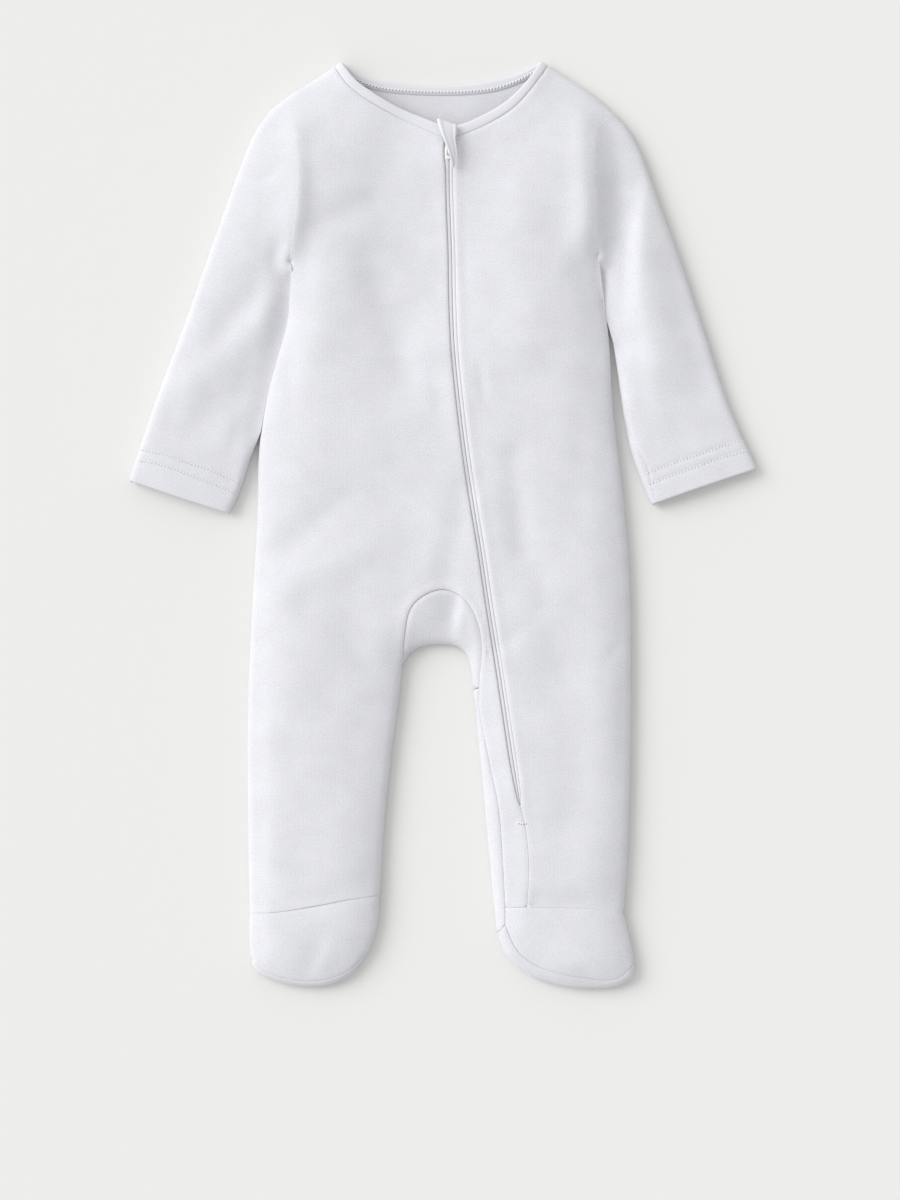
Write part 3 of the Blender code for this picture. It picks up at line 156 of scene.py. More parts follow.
# Seams and free edges on the cloth: x, y. Those ending on a side fold are divided finely there.
SEAMS_IN_PLAN = {
    "armhole_r": (SHOULDER_R, (-96.8, 248.0), (-91.2, 241.0), (-87.8, 224.0), (-87.2, 200.0),
                  (-89.6, 176.0), UNDERARM_R),
    "armhole_l": (SHOULDER_L, (96.2, 243.0), (92.0, 234.0), (91.0, 216.0), (93.0, 192.0),
                  UNDERARM_L),
    "cuff_r": (CUFF_OUT_R, (-163.8, 18.2), CUFF_IN_R),
    "cuff_l": (CUFF_OUT_L, (160.0, 24.4), CUFF_IN_L),
    "neck_in_r": (NECK_IN_R, (-52.2, 267.0), (-41.7, 259.2), (-24.6, 249.3), (-7.2, 241.9),
                  BAND_END_IN_R),
    "neck_out_r": (NECK_OUT_R, (-58.9, 266.0), (-50.4, 258.2), (-38.4, 250.5), (-24.6, 243.2),
                   (-7.2, 235.3), BAND_END_OUT_R),
    "neck_in_l": (NECK_IN_L, (51.3, 267.7), (44.4, 260.0), (35.8, 252.7), (18.6, 242.8),
                  BAND_END_IN_L),
    "neck_out_l": (NECK_OUT_L, (53.0, 261.7), (44.4, 252.0), (35.8, 245.4), (18.6, 236.4),
                   BAND_END_OUT_L),
    "neck_in_b": (NECK_IN_R, (-52.2, 272.0), (-41.7, 268.2), (-24.6, 265.9), (1.2, 264.8),
                  (27.0, 267.0), (44.4, 271.2), NECK_IN_L),
    "neck_out_b": (NECK_OUT_R, (-54.0, 267.8), (-42.0, 263.2), (-24.6, 260.4), (1.2, 259.2),
                   (27.0, 261.2), (45.0, 266.4), NECK_OUT_L),
    "band_end_r": (BAND_END_IN_R, BAND_END_OUT_R),
    "band_end_l": (BAND_END_IN_L, BAND_END_OUT_L),
    "shin_seam": (ZIP_FOOT, (48.4, -176.0), (50.2, -186.0), (51.5, -205.0), SHIN_SEAM_END),
    "ankle_r": (ANKLE_OUT_R, (-99.0, -232.0), (-76.0, -228.4), (-55.0, -224.4), ANKLE_IN_R),
    "ankle_l_inner": (ANKLE_IN_L, SHIN_SEAM_END),
    "ankle_l_outer": (SHIN_SEAM_END, (80.0, -229.8), (98.0, -231.0), ANKLE_OUT_L),
    "gusset_front": (CROTCH_R, (-23.3, -68.0), (-19.4, -50.0), (-11.0, -42.0), (0.0, -38.7),
                     (10.6, -42.8), (18.4, -52.6), (23.0, -70.0), GUSSET_TIP_L),
    "gusset_back": (CROTCH_R, (-30.0, -64.0), (-22.0, -48.0), (-3.0, -40.0), (17.0, -48.0),
                    (26.0, -66.0), (25.5, -84.0), CROTCH_L),
    "gusset_tip": (GUSSET_TIP_L, CROTCH_L),
    "inseam_l": (GUSSET_TIP_L, (21.8, -112.0), (27.6, -142.0), (33.4, -171.0), (35.9, -205.0),
                 ANKLE_IN_L),
    "inseam_l_end": (ANKLE_IN_L, SOLE_IN_L),
    "heel_tip": (SOLE_IN_L, HEEL_IN_L),
    "sole_r": (SOLE_OUT_R, (-108.0, -267.4), (-93.0, -272.6), (-74.0, -273.6), (-58.5, -268.6),
               SOLE_IN_R),
    "sole_l": (SOLE_IN_L, (41.8, -251.0), (47.0, -258.4), (60.0, -266.4), (84.0, -271.8),
               (104.0, -272.6), SOLE_OUT_L),
    "heel_r": (ANKLE_OUT_R, (-106.0, -203.0), (-77.0, -187.0), (-48.0, -200.0), ANKLE_IN_R),
    "heel_l": (HEEL_IN_L, (41.0, -212.0), (70.0, -190.0), (98.0, -205.0), ANKLE_OUT_L),
}
# Ends of a seam that lie on a side fold: at its start, at its end.
ENDS_ON_FOLD = {
    "armhole_r": (1, 1), "armhole_l": (1, 1), "cuff_r": (1, 1), "cuff_l": (1, 1),
    "neck_in_r": (1, 0), "neck_out_r": (1, 0), "neck_in_l": (1, 0), "neck_out_l": (1, 0),
    "neck_in_b": (1, 1), "neck_out_b": (1, 1), "ankle_r": (1, 1), "ankle_l_outer": (0, 1),
    "gusset_front": (1, 0), "gusset_back": (1, 0), "heel_r": (1, 1), "heel_l": (0, 1),
}

# Height of the top above the surface along the garment: y, height
BODY_HEIGHTS = ((300.0, 11.0), (270.0, 12.0), (238.0, 14.6), (205.0, 16.8), (150.0, 16.4),
                (60.0, 16.0), (-20.0, 15.6), (-90.0, 15.2), (-160.0, 14.8), (-222.0, 14.8),
                (-245.0, 15.4), (-290.0, 12.5))
SLEEVE_HEIGHTS = ((260.0, 11.5), (225.0, 12.4), (160.0, 12.2), (80.0, 11.0), (35.0, 8.6),
                  (0.0, 8.0))
HEIGHT_BLUR = 14.0     # how softly one table height runs into the next
ARM_LINE = ((-20.0, 110.0), (50.0, 108.0), (100.0, 100.0), (160.0, 93.0), (200.0, 90.0),
            (235.0, 91.0), (252.0, 102.0))    # y, distance from the middle where an arm begins
ARM_BLEND = (-8.0, 20.0)                      # from before to after that line

# Largest folds: x and y at each end, half width, height (a trough is negative)
CLOTH_FOLDS = (
    (-34.0, 214.0, -24.0, 100.0, 30.0, -3.0),
    (-89.0, 238.0, -89.0, 168.0, 9.0, 1.3),
    (-81.5, 176.5, -42.5, 194.5, 9.0, -1.3),
    (-44.0, 158.0, -20.0, 90.0, 11.0, -1.3),
    (44.0, 184.0, 48.0, 110.0, 15.0, 1.2),
    (71.0, 180.0, 74.0, 110.0, 11.0, -0.9),
    (84.0, 242.0, 87.0, 164.0, 8.0, 1.9),
    (-100.0, -17.0, -56.0, 17.0, 9.0, -1.5),
    (-100.0, -40.0, -48.0, -14.0, 11.0, 1.4),
    (12.5, 20.0, 2.5, -32.0, 9.0, -1.6),
    (42.5, 42.0, 47.5, -14.0, 8.5, -1.8),
    (55.0, -20.0, 61.0, -48.0, 9.0, -1.2),
    (-72.0, -42.0, -84.0, -100.0, 16.0, 1.1),
    (-45.0, -92.0, -53.0, -150.0, 14.0, -1.3),
    (74.0, -72.0, 79.0, -170.0, 15.0, -1.5),
    (58.0, -226.0, 102.0, -228.0, 7.5, -1.7),
    (-96.0, -231.0, -50.0, -224.0, 8.0, -1.0),
    (-86.0, 165.0, -136.0, 110.0, 11.0, -2.2),
    (-96.0, 135.0, -152.0, 87.0, 10.0, 1.3),
    (-98.0, 97.0, -155.0, 55.0, 11.0, -1.5),
    (105.0, 198.0, 104.0, 130.0, 9.0, -1.6),
    (103.0, 240.0, 104.0, 206.0, 8.0, -1.3),
    (127.0, 162.0, 128.0, 88.0, 10.0, 1.3),
    (151.0, 150.0, 159.0, 82.0, 12.0, -2.0),
)

# Zip tapes, as far as the slider is fitted round them
TAPE_CLOTH = 0.9
TAPE_DROP = 1.85         # from the cloth's outer face down to the tape's

# Slider, its bridge and pin, and the pull tab that hangs on the pin
SLIDER_MIDDLE = (3.7, 223.0)
SLIDER_LENGTH = 8.0
SLIDER_WIDTH = 5.4
SLIDER_FOOT_SHARE = 0.8  # width of its end nearer the feet
SLIDER_PLATE = 0.9       # thickness of each plate
SLIDER_CLEARANCE = 0.4   # from each plate to the tapes between them
PLATE_CORNER = 0.9       # rounding of the plates' corners
PLATE_ROUNDING = 0.35    # and of their edges
EAR_WIDTH = 0.8
EAR_LENGTH = 3.4
EAR_HEIGHT = 2.6
EAR_TAPER = 0.72         # length of their tops as a share of their feet's
EAR_SINK = 0.4           # how far their feet reach into the upper plate
POST_SINK = 0.2          # and the post's ends into both plates
PIN_SINK = 0.3           # and the pin's ends into the ears
PIN_SIZE = 0.7
PULL_PLAY = 0.32         # clear space round the pin and beside the tab's eye
PULL_EYE_WIDTH = 1.8
PULL_LENGTH = 12.0       # from the pin to the tab's end
PULL_WIDTH = 4.4
PULL_THICKNESS = 1.0
PULL_NECK = 2.2
PIN_COVER = 0.3          # material of the ears over the pin

# The flap over the zip's top: rows from the neck to the tip, each from its folded edge to its
# free edge: x, y, x, y, and how far its lower face is above the cloth at either edge.
GARAGE_ROWS = (
    (-3.6, 242.6, 8.3, 238.6, 1.2, 1.2),
    (-3.3, 240.2, 8.5, 236.0, 2.7, 2.2),
    (-2.0, 236.0, 8.1, 232.6, 4.7, 3.1),
    (-0.3, 231.6, 7.8, 229.2, 5.3, 3.3),
    (1.5, 227.0, 8.3, 225.4, 5.2, 3.1),
    (3.4, 222.4, 8.4, 221.4, 4.5, 2.8),
    (4.9, 217.8, 7.6, 217.4, 3.2, 2.2),
    (5.7, 213.6, 6.7, 213.4, 1.9, 1.6),
)
GARAGE_SAG = 1.5         # exponent of the fall from its folded edge to its free one
GARAGE_CLOTH = 1.7       # its thickness
GARAGE_FOLD = 0.55       # extra height of the roll along its folded edge
GARAGE_RIM = 0.3         # extra height of its sewn free edge
GARAGE_GROOVE = 0.25     # depth of the seam beside that edge


def smooth_line(points):
    """Dense points on a centripetal Catmull-Rom curve through the given ones."""
    points = np.array(points, float)
    if len(points) == 2:
        return np.linspace(points[0], points[1], CURVE_SAMPLES)
    ends = (2 * points[0] - points[1], 2 * points[-1] - points[-2])
    knots = np.vstack([ends[0], points, ends[1]])
    dense = []
    for i in range(1, len(knots) - 2):
        p = knots[i - 1:i + 3]
        t = np.concatenate([[0.0], np.cumsum(np.linalg.norm(np.diff(p, axis=0), axis=1) ** 0.5)])
        u = np.linspace(t[1], t[2], CURVE_SAMPLES, endpoint=False)[:, None]
        a = [(t[k + 1] - u) / (t[k + 1] - t[k]) * p[k] + (u - t[k]) / (t[k + 1] - t[k]) * p[k + 1]
             for k in range(3)]
        b = [(t[k + 2] - u) / (t[k + 2] - t[k]) * a[k] + (u - t[k]) / (t[k + 2] - t[k]) * a[k + 1]
             for k in range(2)]
        dense.append((t[2] - u) / (t[2] - t[1]) * b[0] + (u - t[1]) / (t[2] - t[1]) * b[1])
    dense.append(points[-1:])
    return np.vstack(dense)


def arc_lengths(line):
    return np.concatenate([[0.0], np.cumsum(np.linalg.norm(np.diff(line, axis=0), axis=1))])


def stations(at, lengths, line):
    """A line's values at the given lengths along it."""
    return np.column_stack([np.interp(at, lengths, column) for column in line.T])


def unit(vectors):
    return vectors / np.linalg.norm(vectors, axis=-1, keepdims=True)


def sideways(line):
    """Unit vectors to the left of a line's direction, at each of its points."""
    along = unit(np.gradient(line, axis=0))
    return np.column_stack([-along[:, 1], along[:, 0]])


def silhouette_segments(left_out):
    """Start and end points of the silhouette's short straight parts, which shape the form."""
    starts, ends = [], []
    for name, points in FOLDS_IN_PLAN.items():
        if name in left_out:
            continue
        line = divide(smooth_line(points), False, False)
        starts.append(line[:-1])
        ends.append(line[1:])
    for name, last_at_cuff in (("sleeve_out_r", True), ("sleeve_free_r", False),
                               ("sleeve_out_l", False), ("sleeve_free_l", True)):
        line = np.array(FOLDS_IN_PLAN[name])
        before, at_cuff = (line[-2], line[-1]) if last_at_cuff else (line[1], line[0])
        starts.append(at_cuff[None])
        ends.append((at_cuff + PAST_CUFF * unit(at_cuff - before))[None])
    return np.vstack(starts), np.vstack(ends)


def depth_inside(points, segments=None):
    """A smooth distance from the silhouette: exact close to it and creaseless further in.

    It sums 1 / distance cubed along the silhouette, which has a closed form for a straight part.
    """
    result = np.empty(len(points))
    first_ends, last_ends = SEGMENTS if segments is None else segments
    direction = last_ends - first_ends
    length = np.linalg.norm(direction, axis=1)
    direction = direction / length[:, None]
    for first in range(0, len(points), 2000):
        part = points[first:first + 2000]
        offset = part[:, None, :] - first_ends[None]
        along = (offset * direction[None]).sum(axis=2)
        across2 = np.maximum((offset ** 2).sum(axis=2) - along ** 2, 1e-6)
        rest = length[None] - along
        total = (rest / np.sqrt(rest ** 2 + across2) + along / np.sqrt(along ** 2 + across2))
        result[first:first + 2000] = np.sqrt(2.0 / (total / across2).sum(axis=1))
    return result


def rounded(depth, reach):
    """0 at the silhouette, rising steeply and then flattening to 1 at the reach."""
    left = 1.0 - np.clip(depth / reach, 0.0, 1.0)
    return (1.0 - left ** ROUNDNESS) ** (1.0 / ROUNDNESS)


def smooth_step(value):
    value = np.clip(value, 0.0, 1.0)
    return value * value * (3.0 - 2.0 * value)


def eased(depth, reach):
    """0 at the silhouette, rising ever more slowly to 1 at the reach."""
    return 1.0 - (1.0 - np.clip(depth / reach, 0.0, 1.0)) ** 2


def bell(distance, width):
    return np.exp(-(distance / width) ** 2)


def slope_of(function, points, step):
    """How steeply a function of the plan rises along x and along y."""
    return np.column_stack([
        (function(points + shift) - function(points - shift)) / (2 * step)
        for shift in (np.array((step, 0.0)), np.array((0.0, step)))])


def laid(plan, height):
    """Points of the plan with the height that a function gives them."""
    return np.column_stack([plan, height(plan)])


def soft_profile(table):
    """A function of y through a table of heights, blurred so that it has no corners."""
    ys, heights = np.array(sorted(table)).T
    fine = np.arange(ys[0] - 60.0, ys[-1] + 60.0, 2.0)
    raw = np.interp(fine, ys, heights)
    reach = np.arange(-3 * HEIGHT_BLUR, 3 * HEIGHT_BLUR + 1, 2.0)
    kernel = np.exp(-0.5 * (reach / HEIGHT_BLUR) ** 2)
    blurred = np.convolve(np.pad(raw, len(kernel) // 2, mode="edge"), kernel / kernel.sum(),
                          mode="valid")
    return lambda y: np.interp(y, fine, blurred)


def outline_of(sheet):
    """The sheet's corner points in order, with the kind of the edge that follows each."""
    points, kinds = [], []
    for name, kind in sheet:
        line = CURVES[name.lstrip("-")]
        line = line[::-1] if name.startswith("-") else line
        points.extend(line[:-1])
        kinds.extend([kind] * (len(line) - 1))
    return np.array(points), kinds


def styles_of(piece, sheet):
    """For each edge of the outline: roll radius, puff, pucker, lap height and lap width."""
    rows = []
    for name, kind in sheet:
        plain = name.lstrip("-")
        count = len(CURVES[plain]) - 1
        if kind in (FOLD, SIDE_SEAM) or plain not in SEAM_STYLES:
            rows += [(0.0, 0.0, 0.0, 0.0, 1.0)] * count
            continue
        start, middle, end, puff, pucker = SEAM_STYLES[plain]
        share = (np.arange(count) + 0.5) / count
        radius = np.interp(share, (0.0, 0.5, 1.0), (start, middle, end))
        scale = radius / max(start, middle, end)
        lap, width = LAPS.get((piece, plain), (0.0, 1.0))
        part = np.column_stack([radius, puff * scale, pucker * scale, lap * scale,
                                np.full(count, width)])
        rows += list(part[::-1] if name.startswith("-") else part)
    return np.array(rows)


def inward_normals(points):
    """Unit normals of a closed outline's edges, pointing into it."""
    following = np.roll(points, -1, axis=0)
    edges = following - points
    area2 = np.sum(points[:, 0] * following[:, 1] - following[:, 0] * points[:, 1])
    return unit(np.column_stack([-edges[:, 1], edges[:, 0]]) * (1.0 if area2 > 0 else -1.0))


def inside_outline(points, outline):
    """Whether each point lies inside a closed outline."""
    inside = np.zeros(len(points), bool)
    for (x0, y0), (x1, y1) in zip(outline, np.roll(outline, -1, axis=0)):
        if y0 == y1:
            continue
        crosses = (y0 > points[:, 1]) != (y1 > points[:, 1])
        inside ^= crosses & (points[:, 0] < (x1 - x0) * (points[:, 1] - y0) / (y1 - y0) + x0)
    return inside


BODY_HEIGHT = soft_profile(BODY_HEIGHTS)
SLEEVE_HEIGHT = soft_profile(SLEEVE_HEIGHTS)


def fold_heights(points):
    """Sum of the soft ridges and troughs at each point."""
    total = np.zeros(len(points))
    for x0, y0, x1, y1, half_width, height in CLOTH_FOLDS:
        start, along = np.array((x0, y0)), np.array((x1 - x0, y1 - y0))
        share = np.clip(((points - start) @ along) / (along @ along), 0.0, 1.0)
        away = np.linalg.norm(points - start - share[:, None] * along, axis=1)
        total += height * bell(away, half_width)
    return total


# ---- finer form of the cloth -------------------------------------------------------------------
# Creases: the points that each runs through, its half width to the left and to the right of that
# way, and its height (a trough is negative). Each fades out towards both its ends.
CREASES = (
    (((-88.5, 243.0), (-85.6, 224.0), (-84.6, 200.0), (-86.4, 178.0), (-89.5, 160.0)),
     5.0, 4.5, 0.9),
    (((-82.0, 218.0), (-78.6, 200.0), (-80.0, 176.0)), 8.0, 7.0, -0.6),
    (((-113.0, 205.5), (-105.0, 208.5), (-98.0, 214.5)), 3.5, 3.0, -0.8),
    (((-101.6, 242.2), (-98.2, 237.6)), 1.5, 1.5, -0.5),
    (((-18.0, 226.0), (-13.0, 190.0), (-8.0, 150.0), (-4.0, 104.0)), 54.0, 36.0, -5.0),
    (((-40.0, 40.0), (-30.0, 0.0), (-34.0, -34.0)), 22.0, 30.0, -2.0),
    (((80.0, 238.0), (78.0, 180.0), (75.0, 130.0), (74.0, 84.0)), 12.0, 48.0, 2.4),
    (((116.0, 204.0), (121.0, 152.0), (126.0, 100.0), (131.0, 60.0)), 20.0, 7.0, 1.9),
    (((-94.0, 116.0), (-93.0, 92.0), (-91.5, 66.0)), 5.0, 4.0, -1.0),
    (((10.2, 182.0), (11.6, 160.0), (13.0, 138.0)), 4.0, 3.0, -0.5),
    (((21.4, 100.0), (22.8, 87.0), (24.6, 72.0)), 3.5, 2.6, -0.8),
    (((-9.0, 102.0), (-4.0, 82.0), (-1.0, 58.0)), 5.0, 4.5, -0.7),
    (((7.4, -41.0), (5.8, -54.0), (3.2, -70.0)), 2.8, 9.0, -3.4),
    (((-38.5, -207.0), (-43.0, -210.0), (-52.0, -209.0)), 2.6, 3.0, -0.9),
    (((40.0, -176.0), (44.0, -178.8), (47.5, -179.2)), 3.0, 3.0, -0.7),
    (((113.0, -66.0), (106.0, -73.0), (98.0, -84.0)), 4.5, 5.0, -1.1),
    (((38.8, -240.5), (41.5, -246.0), (46.5, -252.5)), 2.4, 2.4, -0.9),
    (((44.0, -235.0), (46.0, -240.0), (50.0, -246.0)), 3.0, 4.0, 0.7),
    (((52.0, -256.0), (56.0, -260.5), (61.0, -263.0)), 3.5, 3.5, -0.6),
    (((80.0, -266.0), (85.0, -268.0), (91.0, -267.0)), 3.0, 3.0, -0.6),
    (((36.5, -239.5), (39.0, -240.5), (42.0, -241.2)), 1.6, 1.6, -0.5),
    (((-72.0, -248.0), (-79.0, -264.0), (-84.0, -278.0)), 4.0, 7.0, -1.2),
    (((60.0, -263.0), (82.0, -266.0), (101.0, -263.0)), 13.0, 8.0, 3.0),
    (((-101.0, -262.0), (-78.0, -266.0), (-58.0, -262.0)), 11.0, 8.0, 0.9),
    (((-60.0, -257.0), (-53.0, -262.0), (-49.0, -268.0)), 4.0, 4.0, 0.6),
    (((-107.0, -166.0), (-110.0, -180.0), (-107.0, -196.0)), 4.5, 4.5, -0.6),
    (((-30.0, -92.0), (-42.0, -86.0), (-56.0, -72.0)), 4.5, 4.5, -0.7),
    (((-28.0, -104.0), (-40.0, -108.0), (-56.0, -106.0)), 5.0, 5.0, -0.5),
    (((26.0, -78.0), (36.0, -72.0), (50.0, -60.0)), 5.0, 5.0, -0.6),
    (((84.0, 60.0), (81.0, 25.0), (85.0, -15.0)), 7.0, 7.0, -0.7),
    (((-160.0, 76.0), (-165.0, 62.0), (-164.0, 46.0)), 5.0, 5.0, -0.7),
    (((-118.0, 66.0), (-124.0, 52.0), (-127.0, 38.0)), 5.0, 4.0, -0.8),
    (((123.0, 190.0), (119.5, 170.0), (116.6, 150.0), (114.6, 126.0), (113.0, 100.0)),
     9.0, 5.0, 1.2),
    (((121.0, 240.0), (117.0, 214.0), (112.0, 192.0), (108.5, 172.0), (107.0, 150.0),
      (105.0, 122.0)), 6.0, 15.0, -4.0),
    (((103.0, 239.0), (107.5, 231.0), (112.5, 218.0)), 2.5, 2.5, 0.5),
    (((136.0, 70.0), (142.0, 58.0), (152.0, 48.0)), 5.0, 5.0, -0.6),
    (((112.0, 76.0), (120.0, 70.0), (130.0, 68.0)), 3.0, 3.0, -0.4),
)
UNEVEN_SEED = 11
UNEVEN_WAVES = 28                  # gentle waves that keep the cloth from lying too even
UNEVEN_LENGTHS = (28.0, 95.0)      # shortest and longest
UNEVEN_HEIGHT = 0.0070             # height of each, as a share of its length
PUCKER_WAVES = 22                  # short waves beside the seams
PUCKER_LENGTHS = (4.2, 9.0)
PUCKER_HEIGHT = 0.0085             # height of each, as a share of its length
PUCKER_REACH = 4.5                 # how far from a seam they fade out
CALM_REACH = 16.0                  # round the slider is no crease or wave, so that the flap fits
UNDERARM_LIFT = 6.0                # keeps the cloth from sinking into a pit at an armhole's foot
UNDERARM_REACH = 9.0
UNDERARM_SQUEEZE = 0.5             # the lift reaches further down the side than up the armhole
UNDERARM_CORNER = 0.4              # within this of that corner the edge keeps the form's height
UNDERARM_FREE = 7.0                # and over this it comes down to its own
SLEEVE_BLEND = 12.0                # from an armhole, over which a sleeve takes its own form

CREASE_LINES = [(smooth_line(row[0])[::4], *row[1:]) for row in CREASES]


def creases(points):
    """Sum of the table's creases at each point."""
    total = np.zeros(len(points))
    for line, left_width, right_width, height in CREASE_LINES:
        reach = 3 * max(left_width, right_width)
        low, high = line.min(axis=0) - reach, line.max(axis=0) + reach
        near = np.flatnonzero(((points > low) & (points < high)).all(axis=1))
        if not len(near):
            continue
        away = np.full(len(near), np.inf)
        place = np.zeros(len(near))
        side = np.zeros(len(near))
        length = arc_lengths(line)
        for i in range(len(line) - 1):
            along = line[i + 1] - line[i]
            offset = points[near] - line[i]
            share = np.clip((offset @ along) / (along @ along), 0.0, 1.0)
            gap = np.linalg.norm(offset - share[:, None] * along, axis=1)
            closer = gap < away
            away[closer] = gap[closer]
            place[closer] = (length[i] + share * (length[i + 1] - length[i]))[closer] / length[-1]
            turned = along[0] * offset[:, 1] - along[1] * offset[:, 0]
            side[closer] = (turned / np.linalg.norm(along))[closer]
        lean = smooth_step(0.5 + side / (left_width + right_width))
        width = right_width + (left_width - right_width) * lean
        fade = np.sin(np.pi * (0.06 + 0.88 * place)) ** 0.8
        total[near] += height * fade * bell(away, width)
    return total


def wave_table(seed, count, lengths):
    """Directions and phases of some waves, and each one's length."""
    random = np.random.default_rng(seed)
    length = lengths[0] * (lengths[1] / lengths[0]) ** random.random(count)
    angle = random.normal(0.0, 0.75, count)
    direction = np.column_stack([np.cos(angle), np.sin(angle)]) * (2 * np.pi / length)[:, None]
    return direction, random.random(count) * 2 * np.pi, length


UNEVEN = wave_table(UNEVEN_SEED, UNEVEN_WAVES, UNEVEN_LENGTHS)
PUCKERS = wave_table(UNEVEN_SEED + 1, PUCKER_WAVES, PUCKER_LENGTHS)


def waves(points, table, share):
    """Sum of a table's waves at each point, each as high as a share of its length."""
    direction, phase, length = table
    heights = np.sin(points @ direction.T + phase) * length * share
    return heights.sum(axis=1) / math.sqrt(len(phase))


def top_height(points, fine=True, sleeve=None):
    """Height of the upper side's outer face, with or without its smaller creases.

    A sleeve passes under the torso's side, so it doesn't come down there as a free side does.
    """
    depth = depth_inside(points)
    if fine:
        for corner in (UNDERARM_R, UNDERARM_L):
            offset = points - np.array(corner)
            offset[:, 1] *= np.where(offset[:, 1] < 0, UNDERARM_SQUEEZE, 1.0)
            near = (offset ** 2).sum(axis=1)
            depth = depth + UNDERARM_LIFT * np.exp(-near / UNDERARM_REACH ** 2)
    if sleeve is not None:
        seam, tuck, low, reach = sleeve
        own = depth_inside(points, SLEEVE_SEGMENTS)
        blend = smooth_step(distance_to_line(points, seam) / SLEEVE_BLEND)
        depth = depth + (own - depth) * blend
        dip = blend * bell(distance_to_line(points, tuck), reach)
    arm_x = np.interp(points[:, 1], *np.array(ARM_LINE).T)
    before, after = ARM_BLEND
    arm = smooth_step((np.abs(points[:, 0]) - arm_x - before) / (after - before))
    full = (1 - arm) * BODY_HEIGHT(points[:, 1]) + arm * SLEEVE_HEIGHT(points[:, 1])
    full = full + fold_heights(points)
    if fine:
        calm = np.exp(-((points - np.array(SLIDER_MIDDLE)) ** 2).sum(axis=1) / CALM_REACH ** 2)
        full = full + (1.0 - calm) * (creases(points) + waves(points, UNEVEN, UNEVEN_HEIGHT))
    share = ((1.0 - CROWN_SHARE) * eased(depth, SIDE_REACH)
             + CROWN_SHARE * eased(depth, CROWN_REACH))
    rim = EDGE_HEIGHT + RIM_RISE * rounded(depth, RIM_ROUNDING)
    height = rim + (full - EDGE_HEIGHT - RIM_RISE) * share
    return height if sleeve is None else height + (low - height) * dip


def smooth_top(points):
    """The same without its smaller creases."""
    return top_height(points, False)


def under_height(points):
    """Height of the underside's outer face, which lies flat away from the side folds."""
    return EDGE_HEIGHT * (1.0 - rounded(depth_inside(points), UNDER_ROUNDING))


def outward(height, points, sign):
    """Unit normals of the top (sign 1) or the underside (sign -1)."""
    slope = slope_of(height, points, NORMAL_STEP)
    return unit(np.column_stack([-sign * slope, np.full(len(points), sign)]))


# ---- cloth pieces ------------------------------------------------------------------------------
SEAM, FOLD, SIDE_SEAM, EDGE, ZIP_EDGE = "seam", "fold", "side seam", "edge", "zip edge"
TOP, UNDER = "top", "under"
ROUND_SIDES = {TOP: 2.5, UNDER: 2.3}   # how much longer the round side is than its plan
UV_STEP = 0.5          # half the span over which the way to the silhouette is taken
SEAM_OPEN = 0.008      # clear space between two pieces at a seam
SIDE_ROLL = 0.55       # how far cloth rolls inward at a side seam, in height
SIDE_ROLL_REACH = 1.0  # and how far from it, in plan
MOST_TURNED = 0.8      # most that cloth may be rolled inward, as a share of its wall
GROOVE = 0.40          # how deep a row of stitches is drawn into the cloth
GROOVE_WIDTH = 0.75
PUFF_AT = 2.4          # how far beside a seam the cloth stands out most
# Seams and edges: the radius over which the cloth rolls inward at the line's start, middle and
# end, how far it stands out beside it, and its small puckers.
SEAM_STYLES = {
    "armhole_r": (0.02, 0.10, 0.15, 0.05, 0.4), "armhole_l": (0.02, 0.06, 0.06, 0.02, 0.3),
    "ankle_r": (0.0, 0.50, 0.10, 0.20, 0.8), "ankle_l_inner": (0.4, 0.4, 0.4, 0.15, 0.5),
    "ankle_l_outer": (0.25, 0.14, 0.02, 0.10, 0.5), "gusset_front": (0.25, 0.6, 0.6, 0.45, 0.9),
    "gusset_tip": (0.7, 0.7, 0.7, 0.2, 0.5), "shin_seam": (0.6, 0.32, 0.40, 0.25, 0.9),
    "inseam_l": (0.8, 0.7, 0.8, 0.30, 1.0), "inseam_l_end": (0.8, 0.6, 0.5, 0.2, 0.5),
    "heel_tip": (0.5, 0.4, 0.3, 0.1, 0.4), "sole_r": (0.2, 0.35, 0.4, 0.15, 0.8),
    "sole_l": (0.75, 0.35, 0.30, 0.2, 0.8), "heel_r": (0.5, 0.5, 0.5, 0.1, 0.3),
    "heel_l": (0.5, 0.5, 0.5, 0.1, 0.3), "gusset_back": (0.5, 0.6, 0.5, 0.1, 0.3),
    "neck_out_r": (0.5, 0.7, 0.6, 0.32, 0.5), "neck_out_l": (0.5, 0.7, 0.6, 0.32, 0.5),
    "neck_out_b": (0.5, 0.6, 0.5, 0.1, 0.3), "zip_r": (0.9, 0.9, 0.7, 0.16, 0.3),
    "zip_l": (1.0, 1.0, 0.7, 0.42, 0.3), "cuff_r": (0.9, 0.9, 0.9, 0.0, 0.0),
    "cuff_l": (0.9, 0.9, 0.9, 0.0, 0.0),
}
